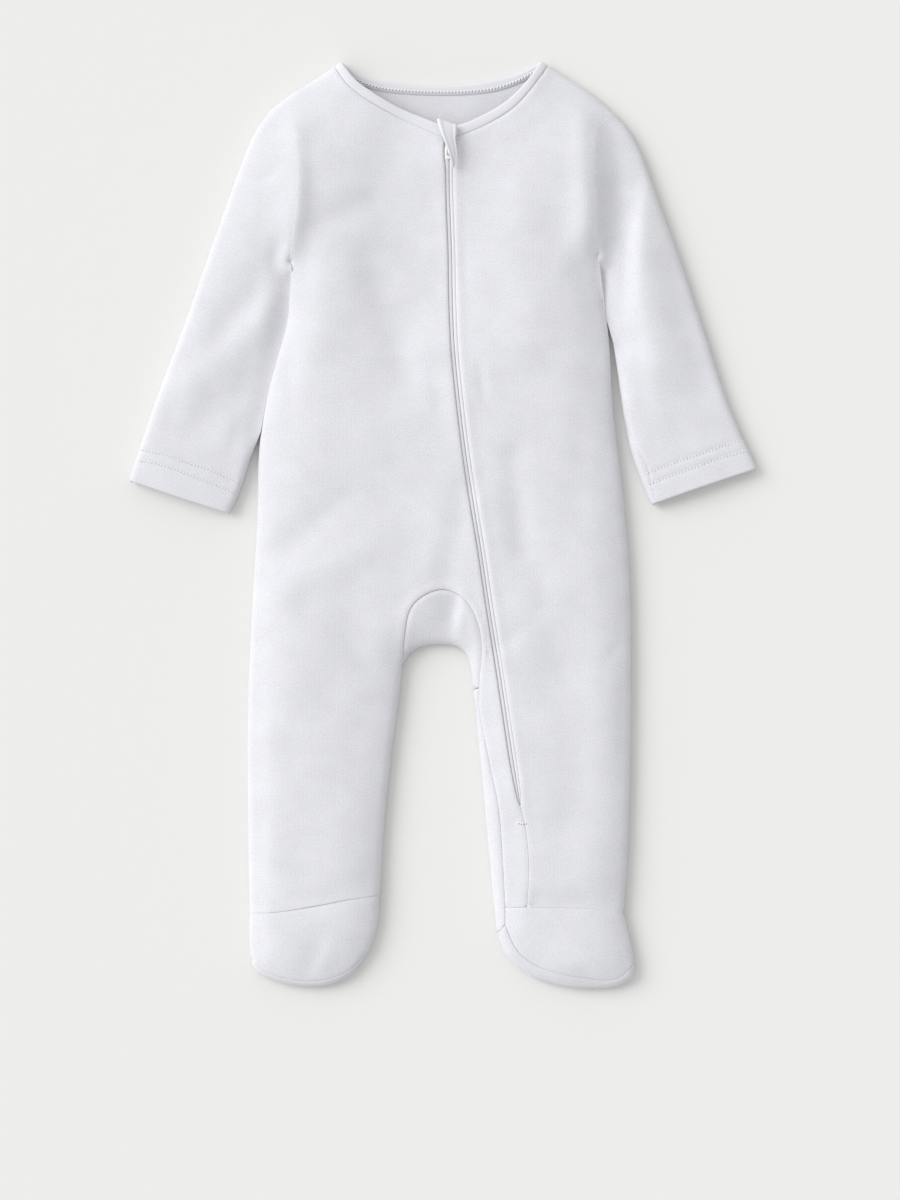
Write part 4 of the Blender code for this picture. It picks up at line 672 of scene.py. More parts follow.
# Lapped seams: how far each piece's edge stands above or below the form, and over which width.
LAPS = {
    ("cloth_front_right", "armhole_r"): (0.45, 4.0),
    ("cloth_sleeve_right", "armhole_r"): (-0.15, 2.0),
    ("cloth_front_left", "armhole_l"): (0.30, 2.2),
    ("cloth_sleeve_left", "armhole_l"): (0.30, 2.6),
    ("cloth_front_right", "ankle_r"): (0.25, 3.0),
    ("cloth_foot_right", "ankle_r"): (-0.25, 3.0),
    ("cloth_front_left", "ankle_l_outer"): (-0.1, 3.0),
    ("cloth_front_left", "shin_seam"): (0.25, 2.0),
    ("cloth_front_right", "shin_seam"): (-0.2, 2.0),
    ("cloth_front_right", "gusset_front"): (0.35, 3.0),
    ("cloth_gusset", "gusset_front"): (-0.25, 2.5),
    ("cloth_front_right", "inseam_l"): (0.2, 2.0),
    ("cloth_back", "inseam_l"): (-0.25, 2.0),
}

# Each piece: its sheets, each a side and the curves round it in order ("-" runs one backwards).
CLOTH_PIECES = {
    "front_right": ((TOP, (
        ("-neck_out_r", SEAM), ("shoulder_r", SIDE_SEAM), ("armhole_r", SEAM),
        ("side_r", SIDE_SEAM), ("ankle_r", SEAM), ("leg_in_r", SIDE_SEAM), ("gusset_front", SEAM),
        ("inseam_l", SEAM), ("ankle_l_inner", SEAM), ("-shin_seam", SEAM),
        ("-zip_r", ZIP_EDGE))),),
    "front_left": ((TOP, (
        ("neck_out_l", SEAM), ("zip_l", ZIP_EDGE), ("shin_seam", SEAM), ("ankle_l_outer", SEAM),
        ("side_l", SIDE_SEAM), ("-armhole_l", SEAM), ("shoulder_l", SIDE_SEAM))),),
    "back": (
        (UNDER, (
            ("neck_out_b", SEAM), ("-shoulder_l", SIDE_SEAM), ("armhole_l", SEAM),
            ("-side_l", SIDE_SEAM), ("-heel_l", SEAM), ("-leg_in_l", FOLD), ("-gusset_back", SEAM),
            ("-leg_in_r", SIDE_SEAM), ("-heel_r", SEAM), ("-side_r", SIDE_SEAM),
            ("-armhole_r", SEAM), ("-shoulder_r", SIDE_SEAM))),
        (TOP, (
            ("inseam_l", SEAM), ("inseam_l_end", SEAM), ("heel_tip", SEAM), ("-leg_in_l", FOLD),
            ("-gusset_tip", SEAM)))),
    "gusset": (
        (TOP, (("gusset_front", SEAM), ("gusset_tip", SEAM), ("-crotch", FOLD))),
        (UNDER, (("gusset_back", SEAM), ("-crotch", FOLD)))),
    "sleeve_right": tuple((side, (
        ("-armhole_r", SEAM), ("sleeve_out_r", FOLD), ("cuff_r", EDGE), ("sleeve_free_r", FOLD),
        ("sleeve_tuck_r", FOLD))) for side in (TOP, UNDER)),
    "sleeve_left": tuple((side, (
        ("armhole_l", SEAM), ("sleeve_tuck_l", FOLD), ("sleeve_free_l", FOLD), ("-cuff_l", EDGE),
        ("sleeve_out_l", FOLD))) for side in (TOP, UNDER)),
    "foot_upper_right": ((TOP, (
        ("-ankle_r", SEAM), ("foot_out_r", SIDE_SEAM), ("sole_r", SEAM),
        ("foot_in_r", SIDE_SEAM))),),
    "foot_upper_left": ((TOP, (
        ("ankle_l_inner", SEAM), ("ankle_l_outer", SEAM), ("-foot_out_l", SIDE_SEAM),
        ("-sole_l", SEAM), ("-inseam_l_end", SEAM))),),
    "sole_right": (
        (UNDER, (("heel_r", SEAM), ("-foot_in_r", SIDE_SEAM), ("-toe_r", FOLD),
                 ("-foot_out_r", SIDE_SEAM))),
        (TOP, (("sole_r", SEAM), ("-toe_r", FOLD)))),
    "sole_left": (
        (UNDER, (("heel_l", SEAM), ("-foot_out_l", SIDE_SEAM), ("-toe_l", FOLD))),
        (TOP, (("sole_l", SEAM), ("-toe_l", FOLD), ("-heel_tip", SEAM)))),
    "neck_binding": (
        (TOP, (("neck_in_r", EDGE), ("band_end_r", EDGE), ("-neck_out_r", SEAM),
               ("neck_fold_r", FOLD))),
        (UNDER, (("neck_in_b", EDGE), ("-neck_fold_l", FOLD), ("-neck_out_b", SEAM),
                 ("neck_fold_r", FOLD))),
        (TOP, (("neck_in_l", EDGE), ("band_end_l", EDGE), ("-neck_out_l", SEAM),
               ("neck_fold_l", FOLD)))),
}


def divide(line, fine_start, fine_end):
    """Points on a dense line, about a step apart, closer where it ends on a side fold."""
    length = arc_lengths(line)
    total = length[-1]
    near = [r for r in FOLD_ROWS if r < 0.45 * total]
    head = [0.0] + (near if fine_start else [])
    tail = ([total - r for r in reversed(near)] if fine_end else []) + [total]
    count = max(1, round((tail[0] - head[-1]) / STEP))
    middle = np.linspace(head[-1], tail[0], count + 1)[1:-1]
    return stations(np.concatenate([head, middle, tail]), length, line)


def zip_line(step=STEP):
    """The zip's middle, and half the space's width at each of its points."""
    dense = smooth_line(ZIP_LINE)
    length = arc_lengths(dense)
    at_slider = np.interp(-SLIDER_MIDDLE[1], -dense[:, 1], length)
    stops = np.linspace(0.0, length[-1], round(length[-1] / step) + 1)
    line = stations(stops, length, dense)
    share = np.clip((length[-1] - stops) / ZIP_TAPER, 0.0, 1.0)
    half = ZIP_HALF_WIDTH * np.sqrt(share * (2.0 - share))
    half += SLIDER_ROOM * bell(stops - at_slider, SLIDER_ROOM_REACH)
    return line, half


def plan_curves():
    """Every silhouette and seam as divided points, by name."""
    curves = {}
    for name, points in FOLDS_IN_PLAN.items():
        curves[name] = divide(smooth_line(points), False, False)
    for name, points in SEAMS_IN_PLAN.items():
        start, end = ENDS_ON_FOLD.get(name, (0, 0))
        curves[name] = divide(smooth_line(points), start, end)
    line, half = zip_line()
    left = sideways(line)
    for name, side, top in (("zip_r", -1.0, BAND_END_OUT_R), ("zip_l", 1.0, BAND_END_OUT_L)):
        edge = line + side * left * half[:, None]
        edge[0] = top
        edge[-1] = ZIP_FOOT
        curves[name] = edge
    return curves


def set_back(points, kinds):
    """Move an outline's seam edges in by half the seam's space and leave the others in place."""
    normals = inward_normals(points)
    insets = np.array([SEAM_OPEN / 2 if kind in (SEAM, ZIP_EDGE) else 0.0 for kind in kinds])
    moved = points.copy()
    for i in range(len(points)):
        before, after = normals[i - 1], normals[i]
        cross = before[0] * after[1] - before[1] * after[0]
        if abs(cross) > 0.25:
            moved[i] += np.linalg.solve(np.array([before, after]), [insets[i - 1], insets[i]])
        else:
            both = before + after
            moved[i] += both / np.linalg.norm(both) * max(insets[i - 1], insets[i])
    return moved, normals


def nearest_edge(points, starts, ends):
    """The nearest of some straight edges to each point, and the distance to it."""
    nearest = np.full(len(points), np.inf)
    which = np.zeros(len(points), int)
    for index, (start, end) in enumerate(zip(starts, ends)):
        along = end - start
        share = np.clip(((points - start) @ along) / max(along @ along, 1e-12), 0.0, 1.0)
        away = ((points - start - share[:, None] * along) ** 2).sum(axis=1)
        closer = away < nearest
        nearest[closer] = away[closer]
        which[closer] = index
    return which, np.sqrt(nearest)


def distance_to_edges(points, starts, ends):
    return nearest_edge(points, starts, ends)[1]


def distance_to_line(points, line):
    return distance_to_edges(points, line[:-1], line[1:])


def distance_to_points(points, others):
    """Distance from each point to the nearest of some others."""
    if not len(others):
        return np.full(len(points), np.inf)
    tree = KDTree(len(others))
    for i, other in enumerate(others):
        tree.insert((other[0], other[1], 0.0), i)
    tree.balance()
    return np.array([tree.find((p[0], p[1], 0.0))[2] for p in points])


def rows_beside(outline, normals, beside, offsets, clear_of, clear):
    """Rows of points beside some of an outline's edges, kept clear of some others."""
    ends = np.roll(outline, -1, axis=0)
    starts = np.flatnonzero(beside | np.roll(beside, 1))
    if not len(starts):
        return np.empty((0, 2)), np.empty(0)
    inward = np.array([normals[i] * beside[i] + normals[i - 1] * beside[i - 1] for i in starts])
    inward /= np.maximum(np.linalg.norm(inward, axis=1), 0.3)[:, None]
    kept, scale = [], []
    for offset in offsets:
        row = outline[starts] + inward * offset
        keep = inside_outline(row, outline)
        keep &= distance_to_edges(row, outline, ends) > OWN_EDGE_CLEAR * offset
        if clear_of.any():
            keep &= distance_to_edges(row, outline[clear_of], ends[clear_of]) > clear
        kept.append(row[keep])
        scale.append(np.full(keep.sum(), offset))
    return np.vstack(kept), np.concatenate(scale)


def inner_points(outline, kinds, normals, cell, features):
    """Rows of points beside folds, seams and features, and an even triangular grid between."""
    ends = np.roll(outline, -1, axis=0)
    folded = np.array([kind in (FOLD, SIDE_SEAM) for kind in kinds])
    chosen, _ = rows_beside(outline, normals, folded, FOLD_ROWS, ~folded, FOLD_ROW_CLEAR)
    rows, scale = rows_beside(outline, normals, ~folded, SEAM_ROWS, folded, SEAM_ROW_CLEAR)
    keep = distance_to_points(rows, chosen) > ROW_CLEAR * scale
    chosen = np.vstack([chosen, rows[keep]])
    for line, offsets in features:
        left = sideways(line)
        for offset in offsets:
            row = line + left * offset
            row = row[inside_outline(row, outline)]
            if not len(row):
                continue
            keep = distance_to_edges(row, outline, ends) > FEATURE_EDGE_CLEAR
            keep &= distance_to_points(row, chosen) > FOLD_ROW_CLEAR
            chosen = np.vstack([chosen, row[keep]])
    low, high = outline.min(axis=0), outline.max(axis=0)
    ys = np.arange(low[1] + cell / 2, high[1], cell * math.sqrt(0.75))
    grid = np.array([(x + (i % 2) * cell / 2, y) for i, y in enumerate(ys)
                     for x in np.arange(low[0], high[0], cell)])
    if not len(grid):
        return chosen
    grid = grid[inside_outline(grid, outline)]
    grid = grid[distance_to_edges(grid, outline, ends) > GRID_EDGE_CLEAR * cell]
    grid = grid[distance_to_points(grid, chosen) > GRID_ROW_CLEAR * cell]
    return np.vstack([chosen, grid])


# Where a sleeve goes under the torso's side: its height there, and how far off it has come up.
SLEEVE_DIPS = {"cloth_sleeve_right": (6.5, 13.0), "cloth_sleeve_left": (4.9, 11.0)}


def sleeve_form(piece):
    """What top_height needs to know of a sleeve, or None for another piece."""
    if piece not in SLEEVE_DIPS:
        return None
    end = piece[len("cloth_sleeve_")]
    return (CURVES[f"armhole_{end}"], CURVES[f"sleeve_tuck_{end}"], *SLEEVE_DIPS[piece])


def roll(distance, radius):
    """How far cloth has turned inward at a distance from its edge: a quarter circle."""
    left = np.clip(1.0 - distance / radius, 0.0, 1.0)
    return radius * (1.0 - np.sqrt(1.0 - left ** 2))


def edge_heights(heights, plan, side, kinds, origin):
    """The heights with the silhouette's points brought to the height of the side folds."""
    sign = 1.0 if side == TOP else -1.0
    on_fold = [kind in (FOLD, SIDE_SEAM) for kind in kinds]
    for index, sources in enumerate(origin):
        known = [s for s in sources if s < len(kinds)]
        if not known or not (on_fold[known[0]] or on_fold[known[0] - 1]):
            continue
        shared = FOLD in (kinds[known[0]], kinds[known[0] - 1])
        free = 0.0
        if side == TOP:
            away = min(math.dist(plan[index], corner) for corner in (UNDERARM_R, UNDERARM_L))
            free = 1.0 - float(smooth_step((away - UNDERARM_CORNER) / UNDERARM_FREE))
        edge = EDGE_HEIGHT + (0.0 if shared else sign * SEAM_OPEN / 2)
        heights[index] = edge + (heights[index] - edge) * free
    return heights


def turned_inward(plan, heights, side, outline, kinds, styles, features):
    """How far the cloth is rolled inward at each point; less than 0 where it stands out."""
    ends = np.roll(outline, -1, axis=0)
    inward = np.zeros(len(plan))
    sewn = np.flatnonzero(styles[:, 0] + styles[:, 1] > 0)
    if len(sewn):
        which, away = nearest_edge(plan, outline[sewn], ends[sewn])
        radius, puff, pucker, lap, width = styles[sewn][which].T
        share = away / PUFF_AT
        inward = roll(away, np.maximum(radius, 0.01))
        inward -= puff * share ** 2 * np.exp(1.0 - share ** 2)
        inward -= lap * bell(away, width)
        for line, _ in features:
            inward += GROOVE * bell(distance_to_line(plan, line), GROOVE_WIDTH)
        if side == TOP:
            weight = pucker * bell(away, PUCKER_REACH) * np.clip(away, 0.0, 1.0)
            inward -= weight * waves(plan, PUCKERS, PUCKER_HEIGHT)
    of_side = np.array([kind == SIDE_SEAM for kind in kinds])
    if of_side.any():
        beside = distance_to_edges(plan, outline[of_side], ends[of_side]) < SIDE_ROLL_REACH
        rolled = roll(np.abs(heights - EDGE_HEIGHT), SIDE_ROLL)
        inward = np.where(beside, np.maximum(inward, rolled), inward)
    return inward


def fill_sheet(piece, side, sheet, features, grain):
    """One sheet's points on the form, how far each is rolled inward, its UVs and triangles."""
    outline, kinds = outline_of(sheet)
    outline, normals = set_back(outline, kinds)
    cell = TOP_CELL if side == TOP else UNDER_CELL
    flat = np.vstack([outline, inner_points(outline, kinds, normals, cell, features)])
    count = len(outline)
    ring = [(i, (i + 1) % count) for i in range(count)]
    points, _, faces, origin, _, _ = delaunay_2d_cdt([Vector(p) for p in flat], ring, [], 1, 1e-6)
    plan = np.array([(p.x, p.y) for p in points])
    heights = top_height(plan, sleeve=sleeve_form(piece)) if side == TOP else under_height(plan)
    heights = edge_heights(heights, plan, side, kinds, origin)
    inward = turned_inward(plan, heights, side, outline, kinds, styles_of(piece, sheet), features)
    if side == UNDER:
        faces = [face[::-1] for face in faces]
    return np.column_stack([plan, heights]), inward, jersey_uv(plan, heights, side, grain), faces


def cloth_mesh(name, sheets, hem, features, grain):
    """A closed shell from a piece's sheets, joined along their shared folds."""
    bm = bmesh.new()
    rolled = bm.verts.layers.float.new("rolled")
    flat = bm.loops.layers.uv.new("flat")
    for side, sheet in sheets:
        points, inward, places, faces = fill_sheet(
            name, side, sheet, features if side == TOP else (), grain)
        verts = []
        for point, turned in zip(points, inward):
            vertex = bm.verts.new(point)
            vertex[rolled] = turned
            verts.append(vertex)
        for corners in faces:
            face = bm.faces.new([verts[i] for i in corners])
            for loop, i in zip(face.loops, corners):
                loop[flat].uv = places[i]
    bmesh.ops.remove_doubles(bm, verts=bm.verts, dist=WELD)
    bm.normal_update()
    walls = np.full(len(bm.verts), CLOTH)
    if hem is not None:
        plan = np.array([(v.co.x, v.co.y) for v in bm.verts])
        walls[distance_to_line(plan, hem) < HEM_DEPTH] = HEM_CLOTH
    normals = {v: v.normal.copy() for v in bm.verts}
    shifts = {}
    for vertex, depth in zip(list(bm.verts), walls):
        turned = min(vertex[rolled], MOST_TURNED * depth)
        shifts[vertex] = normals[vertex] * float(depth - turned)
        vertex.co -= normals[vertex] * turned
    close_shell(bm, shifts)
    return finished_mesh(bm, name)


def close_shell(bm, inward):
    """Copy the surface inward by each point's vector and join the two along their rims."""
    rims = [edge.link_loops[0] for edge in bm.edges if edge.is_boundary]
    rims = [(loop.vert, loop.link_loop_next.vert) for loop in rims]
    copy = bmesh.ops.duplicate(bm, geom=bm.verts[:] + bm.edges[:] + bm.faces[:])
    inner_of = copy["vert_map"]
    for vertex, wall in inward.items():
        inner_of[vertex].co = vertex.co - wall
    faces = [thing for thing in copy["geom"] if isinstance(thing, bmesh.types.BMFace)]
    bmesh.ops.reverse_faces(bm, faces=faces)
    for first, second in rims:
        bm.faces.new((second, first, inner_of[first], inner_of[second]))


def facing_out(mesh):
    """The same closed mesh with all its faces turned outward."""
    bm = bmesh.new()
    bm.from_mesh(mesh)
    bmesh.ops.recalc_face_normals(bm, faces=bm.faces)
    bm.to_mesh(mesh)
    bm.free()
    return mesh


def finished_mesh(bm, name):
    bmesh.ops.scale(bm, vec=(MM, MM, MM), verts=bm.verts)
    mesh = bpy.data.meshes.new(name)
    bm.to_mesh(mesh)
    bm.free()
    return mesh


def mesh_from(name, verts, faces):
    """A mesh from points in millimetres."""
    mesh = bpy.data.meshes.new(name)
    mesh.from_pydata([Vector(v) * MM for v in verts], [], faces)
    return mesh


def add_piece(name, mesh, material, body, replaced=(), sharp=50.0):
    """One piece of the scene, on its body, with the solids that it stands in for."""
    thing = bpy.data.objects.new(name, mesh)
    mesh.materials.append(material)
    mesh.shade_smooth()
    mesh.set_sharp_from_angle(angle=math.radians(sharp))
    bpy.context.scene.collection.objects.link(thing)
    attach(thing, body)
    if replaced:
        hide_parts(*replaced)
    return thing


def jersey_uv(plan, heights, side, grain):
    """Places on the flat cloth in millimetres: the plan, with the sides laid out flat."""
    slope = slope_of(depth_inside, plan, UV_STEP)
    slope /= np.maximum(np.linalg.norm(slope, axis=1), 1e-6)[:, None]
    if side == TOP:
        drop = np.clip(1.0 - (heights - EDGE_HEIGHT) / RIM_RISE, 0.0, 1.0)
    else:
        drop = np.clip(heights / EDGE_HEIGHT, 0.0, 1.0)
    flat = plan - slope * (ROUND_SIDES[side] * drop ** 2)[:, None]
    c, s = math.cos(grain), math.sin(grain)
    return np.column_stack([flat[:, 0] * c + flat[:, 1] * s, -flat[:, 0] * s + flat[:, 1] * c])


# ---- rounded strips, threads and small solids --------------------------------------------------
def tube_mesh(name, rings):
    """A closed form from rings of equal length, with a face over both ends."""
    rings = np.asarray(rings)
    count = rings.shape[1]
    verts = rings.reshape(-1, 3)
    faces = []
    for i in range(len(rings) - 1):
        for k in range(count):
            after = (k + 1) % count
            faces.append((i * count + k, i * count + after, (i + 1) * count + after,
                          (i + 1) * count + k))
    faces.append(tuple(reversed(range(count))))
    faces.append(tuple(range(len(verts) - count, len(verts))))
    return facing_out(mesh_from(name, verts, faces))


def profile_round(count, exponent):
    """Points round a flattened circle with half axes of 1."""
    angle = np.linspace(0.0, 2 * np.pi, count, endpoint=False)
    c, s = np.cos(angle), np.sin(angle)
    power = 2.0 / exponent
    return np.sign(c) * np.abs(c) ** power, np.sign(s) * np.abs(s) ** power


# Rings of a stitch: share of its length, and the lift and width there in radii of the thread
THREAD_RINGS = ((0.0, -0.8, 0.5), (0.16, 0.3, 0.92), (0.5, 0.75, 1.0), (0.84, 0.3, 0.92),
                (1.0, -0.8, 0.5))
THREAD_SIDES = 6
THREAD_FLATNESS = 0.8      # its thickness as a share of its width
STITCH_AHEAD = 0.3         # how far ahead a row's direction is taken


def thread_mesh(name, stitches, radius):
    """Short threads that dive into the cloth at both ends: start, end and outward normal."""
    verts, faces, sides = [], [], THREAD_SIDES
    for start, end, normal in stitches:
        along = unit(end - start)
        across = unit(np.cross(normal, along))
        up = np.cross(along, across)
        first = len(verts)
        for share, lift, width in THREAD_RINGS:
            middle = start + (end - start) * share + up * lift * radius
            for k in range(sides):
                angle = 2 * math.pi * k / sides
                way = across * math.cos(angle) + up * THREAD_FLATNESS * math.sin(angle)
                verts.append(middle + way * radius * width)
        for ring in range(len(THREAD_RINGS) - 1):
            for k in range(sides):
                a = first + ring * sides + k
                b = first + ring * sides + (k + 1) % sides
                faces.append((a, b, b + sides, a + sides))
        faces.append(tuple(first + k for k in reversed(range(sides))))
        last = first + (len(THREAD_RINGS) - 1) * sides
        faces.append(tuple(last + k for k in range(sides)))
    return mesh_from(name, verts, faces)


def add_threads(name, stitches, radius, material):
    return add_piece(name, thread_mesh(name, stitches, radius), material, "garment")


def along_surface(line, side, lift, sleeve=None):
    """A dense plan line laid on the top or underside, and its outward normals."""
    def height(points):
        return top_height(points, sleeve=sleeve) if side == TOP else under_height(points)

    sign = 1.0 if side == TOP else -1.0
    normals = outward(height, line, sign)
    return laid(line, height) + lift * normals, normals


def spaced(points, normals, pitch, length, slant, start=0.0):
    """Stitches at an even pitch along a line of the surface, each turned by a slant."""
    reach = arc_lengths(points)
    stitches = []
    at = start + pitch / 2
    while at + length / 2 < reach[-1]:
        middle, ahead = stations((at, at + STITCH_AHEAD), reach, points)
        normal = unit(stations((at,), reach, normals)[0])
        along = unit(ahead - middle)
        across = np.cross(normal, along)
        way = along * math.cos(slant) + across * math.sin(slant)
        stitches.append((middle - way * length / 2, middle + way * length / 2, normal))
        at += pitch
    return stitches


def cuff_stitches(end, lift, length, slant, start=0.0):
    """Stitches along one cuff's two rows, on top of the sleeve and under it."""
    outline, _ = outline_of(CLOTH_PIECES[f"sleeve_{end}"][0][1])
    form = sleeve_form(f"cloth_sleeve_{end}")
    stitches = []
    for row in CUFF_ROWS[end]:
        dense = smooth_line(row)
        lengths = arc_lengths(dense)
        line = stations(np.linspace(0.0, 1.0, 500), lengths / lengths[-1], dense)
        line = line[inside_outline(line, outline)]
        for side in (TOP, UNDER):
            points, normals = along_surface(line, side, lift, form)
            stitches += spaced(points, normals, CUFF_PITCH, length, slant, start)
    return stitches


# ---- neck band ---------------------------------------------------------------------------------
BAND_PROFILE = profile_round(22, 2.7)
BAND_STEP = 1.2            # between the band's rings
BAND_LIFT_REACH = 4.0      # height over the side fold within which it rises by its lift
BAND_ROOM = 0.04           # clear space at either edge
BAND_BACK_ROOM = -0.16     # the same over the back, where the band laps the cloth a little
FACES_DOWN = -0.5          # the normal's height past which the band counts as at the back
BAND_SIDES = (("r", TOP, True), ("b", UNDER, False), ("l", TOP, False))


def band_line(side_name, side):
    """The band's middle, its way across and its width on one stretch, from its start."""
    lines = [smooth_line(SEAMS_IN_PLAN[f"neck_{edge}_{side_name}"]) for edge in ("out", "in")]
    lengths = [arc_lengths(line) for line in lines]
    near = np.array(FOLD_ROWS[:-1])
    mean = (lengths[0][-1] + lengths[1][-1]) / 2
    far_fold = side_name == "b"
    stops = np.concatenate([[0.0], near, np.linspace(
        FOLD_ROWS[-1], mean - (FOLD_ROWS[-1] if far_fold else 0.0), round(mean / BAND_STEP))])
    if far_fold:
        stops = np.concatenate([stops, mean - near[::-1], [mean]])
    edges = []
    for line, length in zip(lines, lengths):
        near_end = np.clip((stops - mean / 4) / (mean / 2), 0.0, 1.0)
        at = stops * (1 - near_end) + (length[-1] - (mean - stops)) * near_end
        edges.append(stations(at, length, line))
    lines = []
    for plan in (edges[0], (edges[0] + edges[1]) / 2, edges[1]):
        line = laid(plan, top_height if side == TOP else under_height)
        line[[0, -1] if far_fold else [0], 2] = EDGE_HEIGHT
        lines.append(line)
    return lines


def band_path():
    """The whole path: down from the zip's right side, over the back, to the zip's left side."""
    parts = [[], [], []]
    for side_name, side, backwards in BAND_SIDES:
        for part, points in zip(parts, band_line(side_name, side)):
            points = points[::-1] if backwards else points
            part.append(points if not part else points[1:])
    out, middle, inner = (np.vstack(part) for part in parts)
    along = np.gradient(middle, axis=0)
    normal = unit(np.cross(unit(inner - out), along))
    return middle, unit(np.cross(along, normal)), normal, np.linalg.norm(inner - out, axis=1)


def build_band(material):
    """The folded rib band round the neck, as one closed strip."""
    middle, across, normal, width = band_path()
    on_top_share = smooth_step((middle[:, 2] - EDGE_HEIGHT) / BAND_LIFT_REACH)
    lift = (BAND_LIFT * on_top_share - BAND_CLOTH / 2)[:, None, None]
    half = width / 2 - np.where(normal[:, 2] < FACES_DOWN, BAND_BACK_ROOM, BAND_ROOM)
    u, v = (values[None, :, None] for values in BAND_PROFILE)
    rings = (middle[:, None] + across[:, None] * (u * half[:, None, None])
             + normal[:, None] * (lift + v * BAND_CLOTH / 2))
    mesh = tube_mesh("neck_band", rings)
    return add_piece("neck_band", mesh, material, "garment", ("neck_binding",), sharp=70.0)


def neck_stitches(above, length, start=0.0):
    """Threads along the band's lower edge, on the inner face that shows at the back."""
    path = band_path()
    middle, across, normal, width = (part[path[2][:, 2] < FACES_DOWN] for part in path)
    line = middle - across * (width / 2 - NECK_INSET)[:, None] - normal * (BAND_CLOTH + above)
    return spaced(line, -normal, NECK_PITCH, length, NECK_SLANT, start)


# ---- zip ---------------------------------------------------------------------------------------
# Section of a tape: distance from the zip's middle, and height above the cloth's outer face
TAPE_PROFILE = ((0.06, -2.15), (0.10, -1.75), (0.25, -1.36), (0.6, -1.10), (1.1, -1.00),
                (1.6, -1.04), (2.0, -1.22), (2.3, -1.52), (2.7, -1.85), (4.0, -2.0), (5.4, -2.0))
TAPE_THICK = 0.55
TAPE_UNDER = -1.6          # the tape's lower face follows its upper one up to this height
TAPE_FREE = 2.3            # up to here from the middle its section narrows with the zip's space
TAPE_APART = 0.9           # how far the slider's post holds each tape from the middle
POST_AHEAD = 2.6           # of the slider's middle, towards the neck
POST_LENGTH = 1.2          # half the length over which it holds them fully apart
POST_BLEND = 3.0           # and the length over which they then come together
TOOTH_PITCH = 1.25
COIL_START = 14.0          # from the zip's top
COIL_END = 2.0             # and from its foot
COIL_DROP = 3.0            # below the cloth's outer face
COIL_PAST = 0.45           # how far each turn passes the middle
COIL_REACH = 1.9           # and how far it reaches to its own side
COIL_RADIUS = 0.34


def zip_frame(step):
    """Stations down the zip: plan points, the way to the wearer's left, and half the space."""
    line, half = zip_line(step)
    keep = slice(2, len(line) - 1)
    return line[keep], sideways(line)[keep], half[keep]


def build_tape(name, side, material):
    """One half of the zip's woven tape, from its edge beside the coil to its sewn edge."""
    line, left, half = zip_frame(1.2 * COARSE)
    from_post = np.abs(line[:, 1] - SLIDER_MIDDLE[1] - POST_AHEAD)
    apart = TAPE_APART * (1.0 - smooth_step((from_post - POST_LENGTH) / POST_BLEND))
    share = np.clip(half / ZIP_HALF_WIDTH, 0.25, 1.4)
    upper, lower = [], []
    for offset, lift in TAPE_PROFILE:
        away = offset * share if offset < TAPE_FREE else offset + (share - 1) * ZIP_HALF_WIDTH
        away = np.maximum(away, apart + 0.05 * offset)
        plan = line + side * left * away[:, None]
        normals = outward(top_height, plan, 1.0)
        base = laid(plan, top_height)
        upper.append(base + normals * lift)
        lower.append(base + normals * (min(lift, TAPE_UNDER) - TAPE_THICK))
    rings = np.stack(upper + lower[::-1], axis=1)
    mesh = tube_mesh(name, rings)
    return add_piece(name, mesh, material, "garment", (f"zip_{name}",), sharp=75.0)


def build_teeth(material):
    """The coil behind the tapes: one turn for each pitch, alternately from either side."""
    dense, _ = zip_line(0.5)
    left = sideways(dense)
    reach = arc_lengths(dense)
    at = np.arange(COIL_START, reach[-1] - COIL_END, TOOTH_PITCH / 2)
    side = np.where(np.arange(len(at)) % 2, 1.0, -1.0)[:, None]
    plan, way = (stations(at, reach, line) for line in (dense, left))
    normals = outward(top_height, plan, 1.0)
    ends = [laid(end, top_height) - normals * COIL_DROP
            for end in (plan - side * way * COIL_PAST, plan + side * way * COIL_REACH)]
    return add_threads("zip_coil", list(zip(*ends, normals)), COIL_RADIUS, material)


# ---- flap, slider and pull tab -----------------------------------------------------------------
def garage_surface(rows, columns):
    """The flap's middle surface on a fine grid, and its upward normals."""
    table = np.array(GARAGE_ROWS)
    knots = np.arange(len(table))
    fine = np.linspace(0, len(table) - 1, rows)
    left = smooth_line(table[:, :2])
    right = smooth_line(table[:, 2:4])
    at = np.linspace(0, len(left) - 1, rows)
    place = np.arange(len(left))
    edges = [stations(at, place, line) for line in (left, right)]
    clear = [np.interp(fine, knots, table[:, k]) for k in (4, 5)]
    blur = np.array((1.0, 2.0, 3.0, 2.0, 1.0)) / 9.0
    clear = [np.convolve(np.pad(c, 2, mode="edge"), blur, mode="valid") for c in clear]
    across = np.linspace(0.0, 1.0, columns)
    surface = []
    for i in range(rows):
        plan = edges[0][i] + (edges[1][i] - edges[0][i]) * across[:, None]
        row = laid(plan, smooth_top)
        lift = clear[0][i] + (clear[1][i] - clear[0][i]) * across ** GARAGE_SAG
        row[:, 2] += lift + GARAGE_CLOTH / 2
        surface.append(row)
    surface = np.array(surface)
    normals = unit(np.cross(np.gradient(surface, axis=0), np.gradient(surface, axis=1)))
    normals *= np.sign(normals[:, :, 2:])
    return surface, normals, across


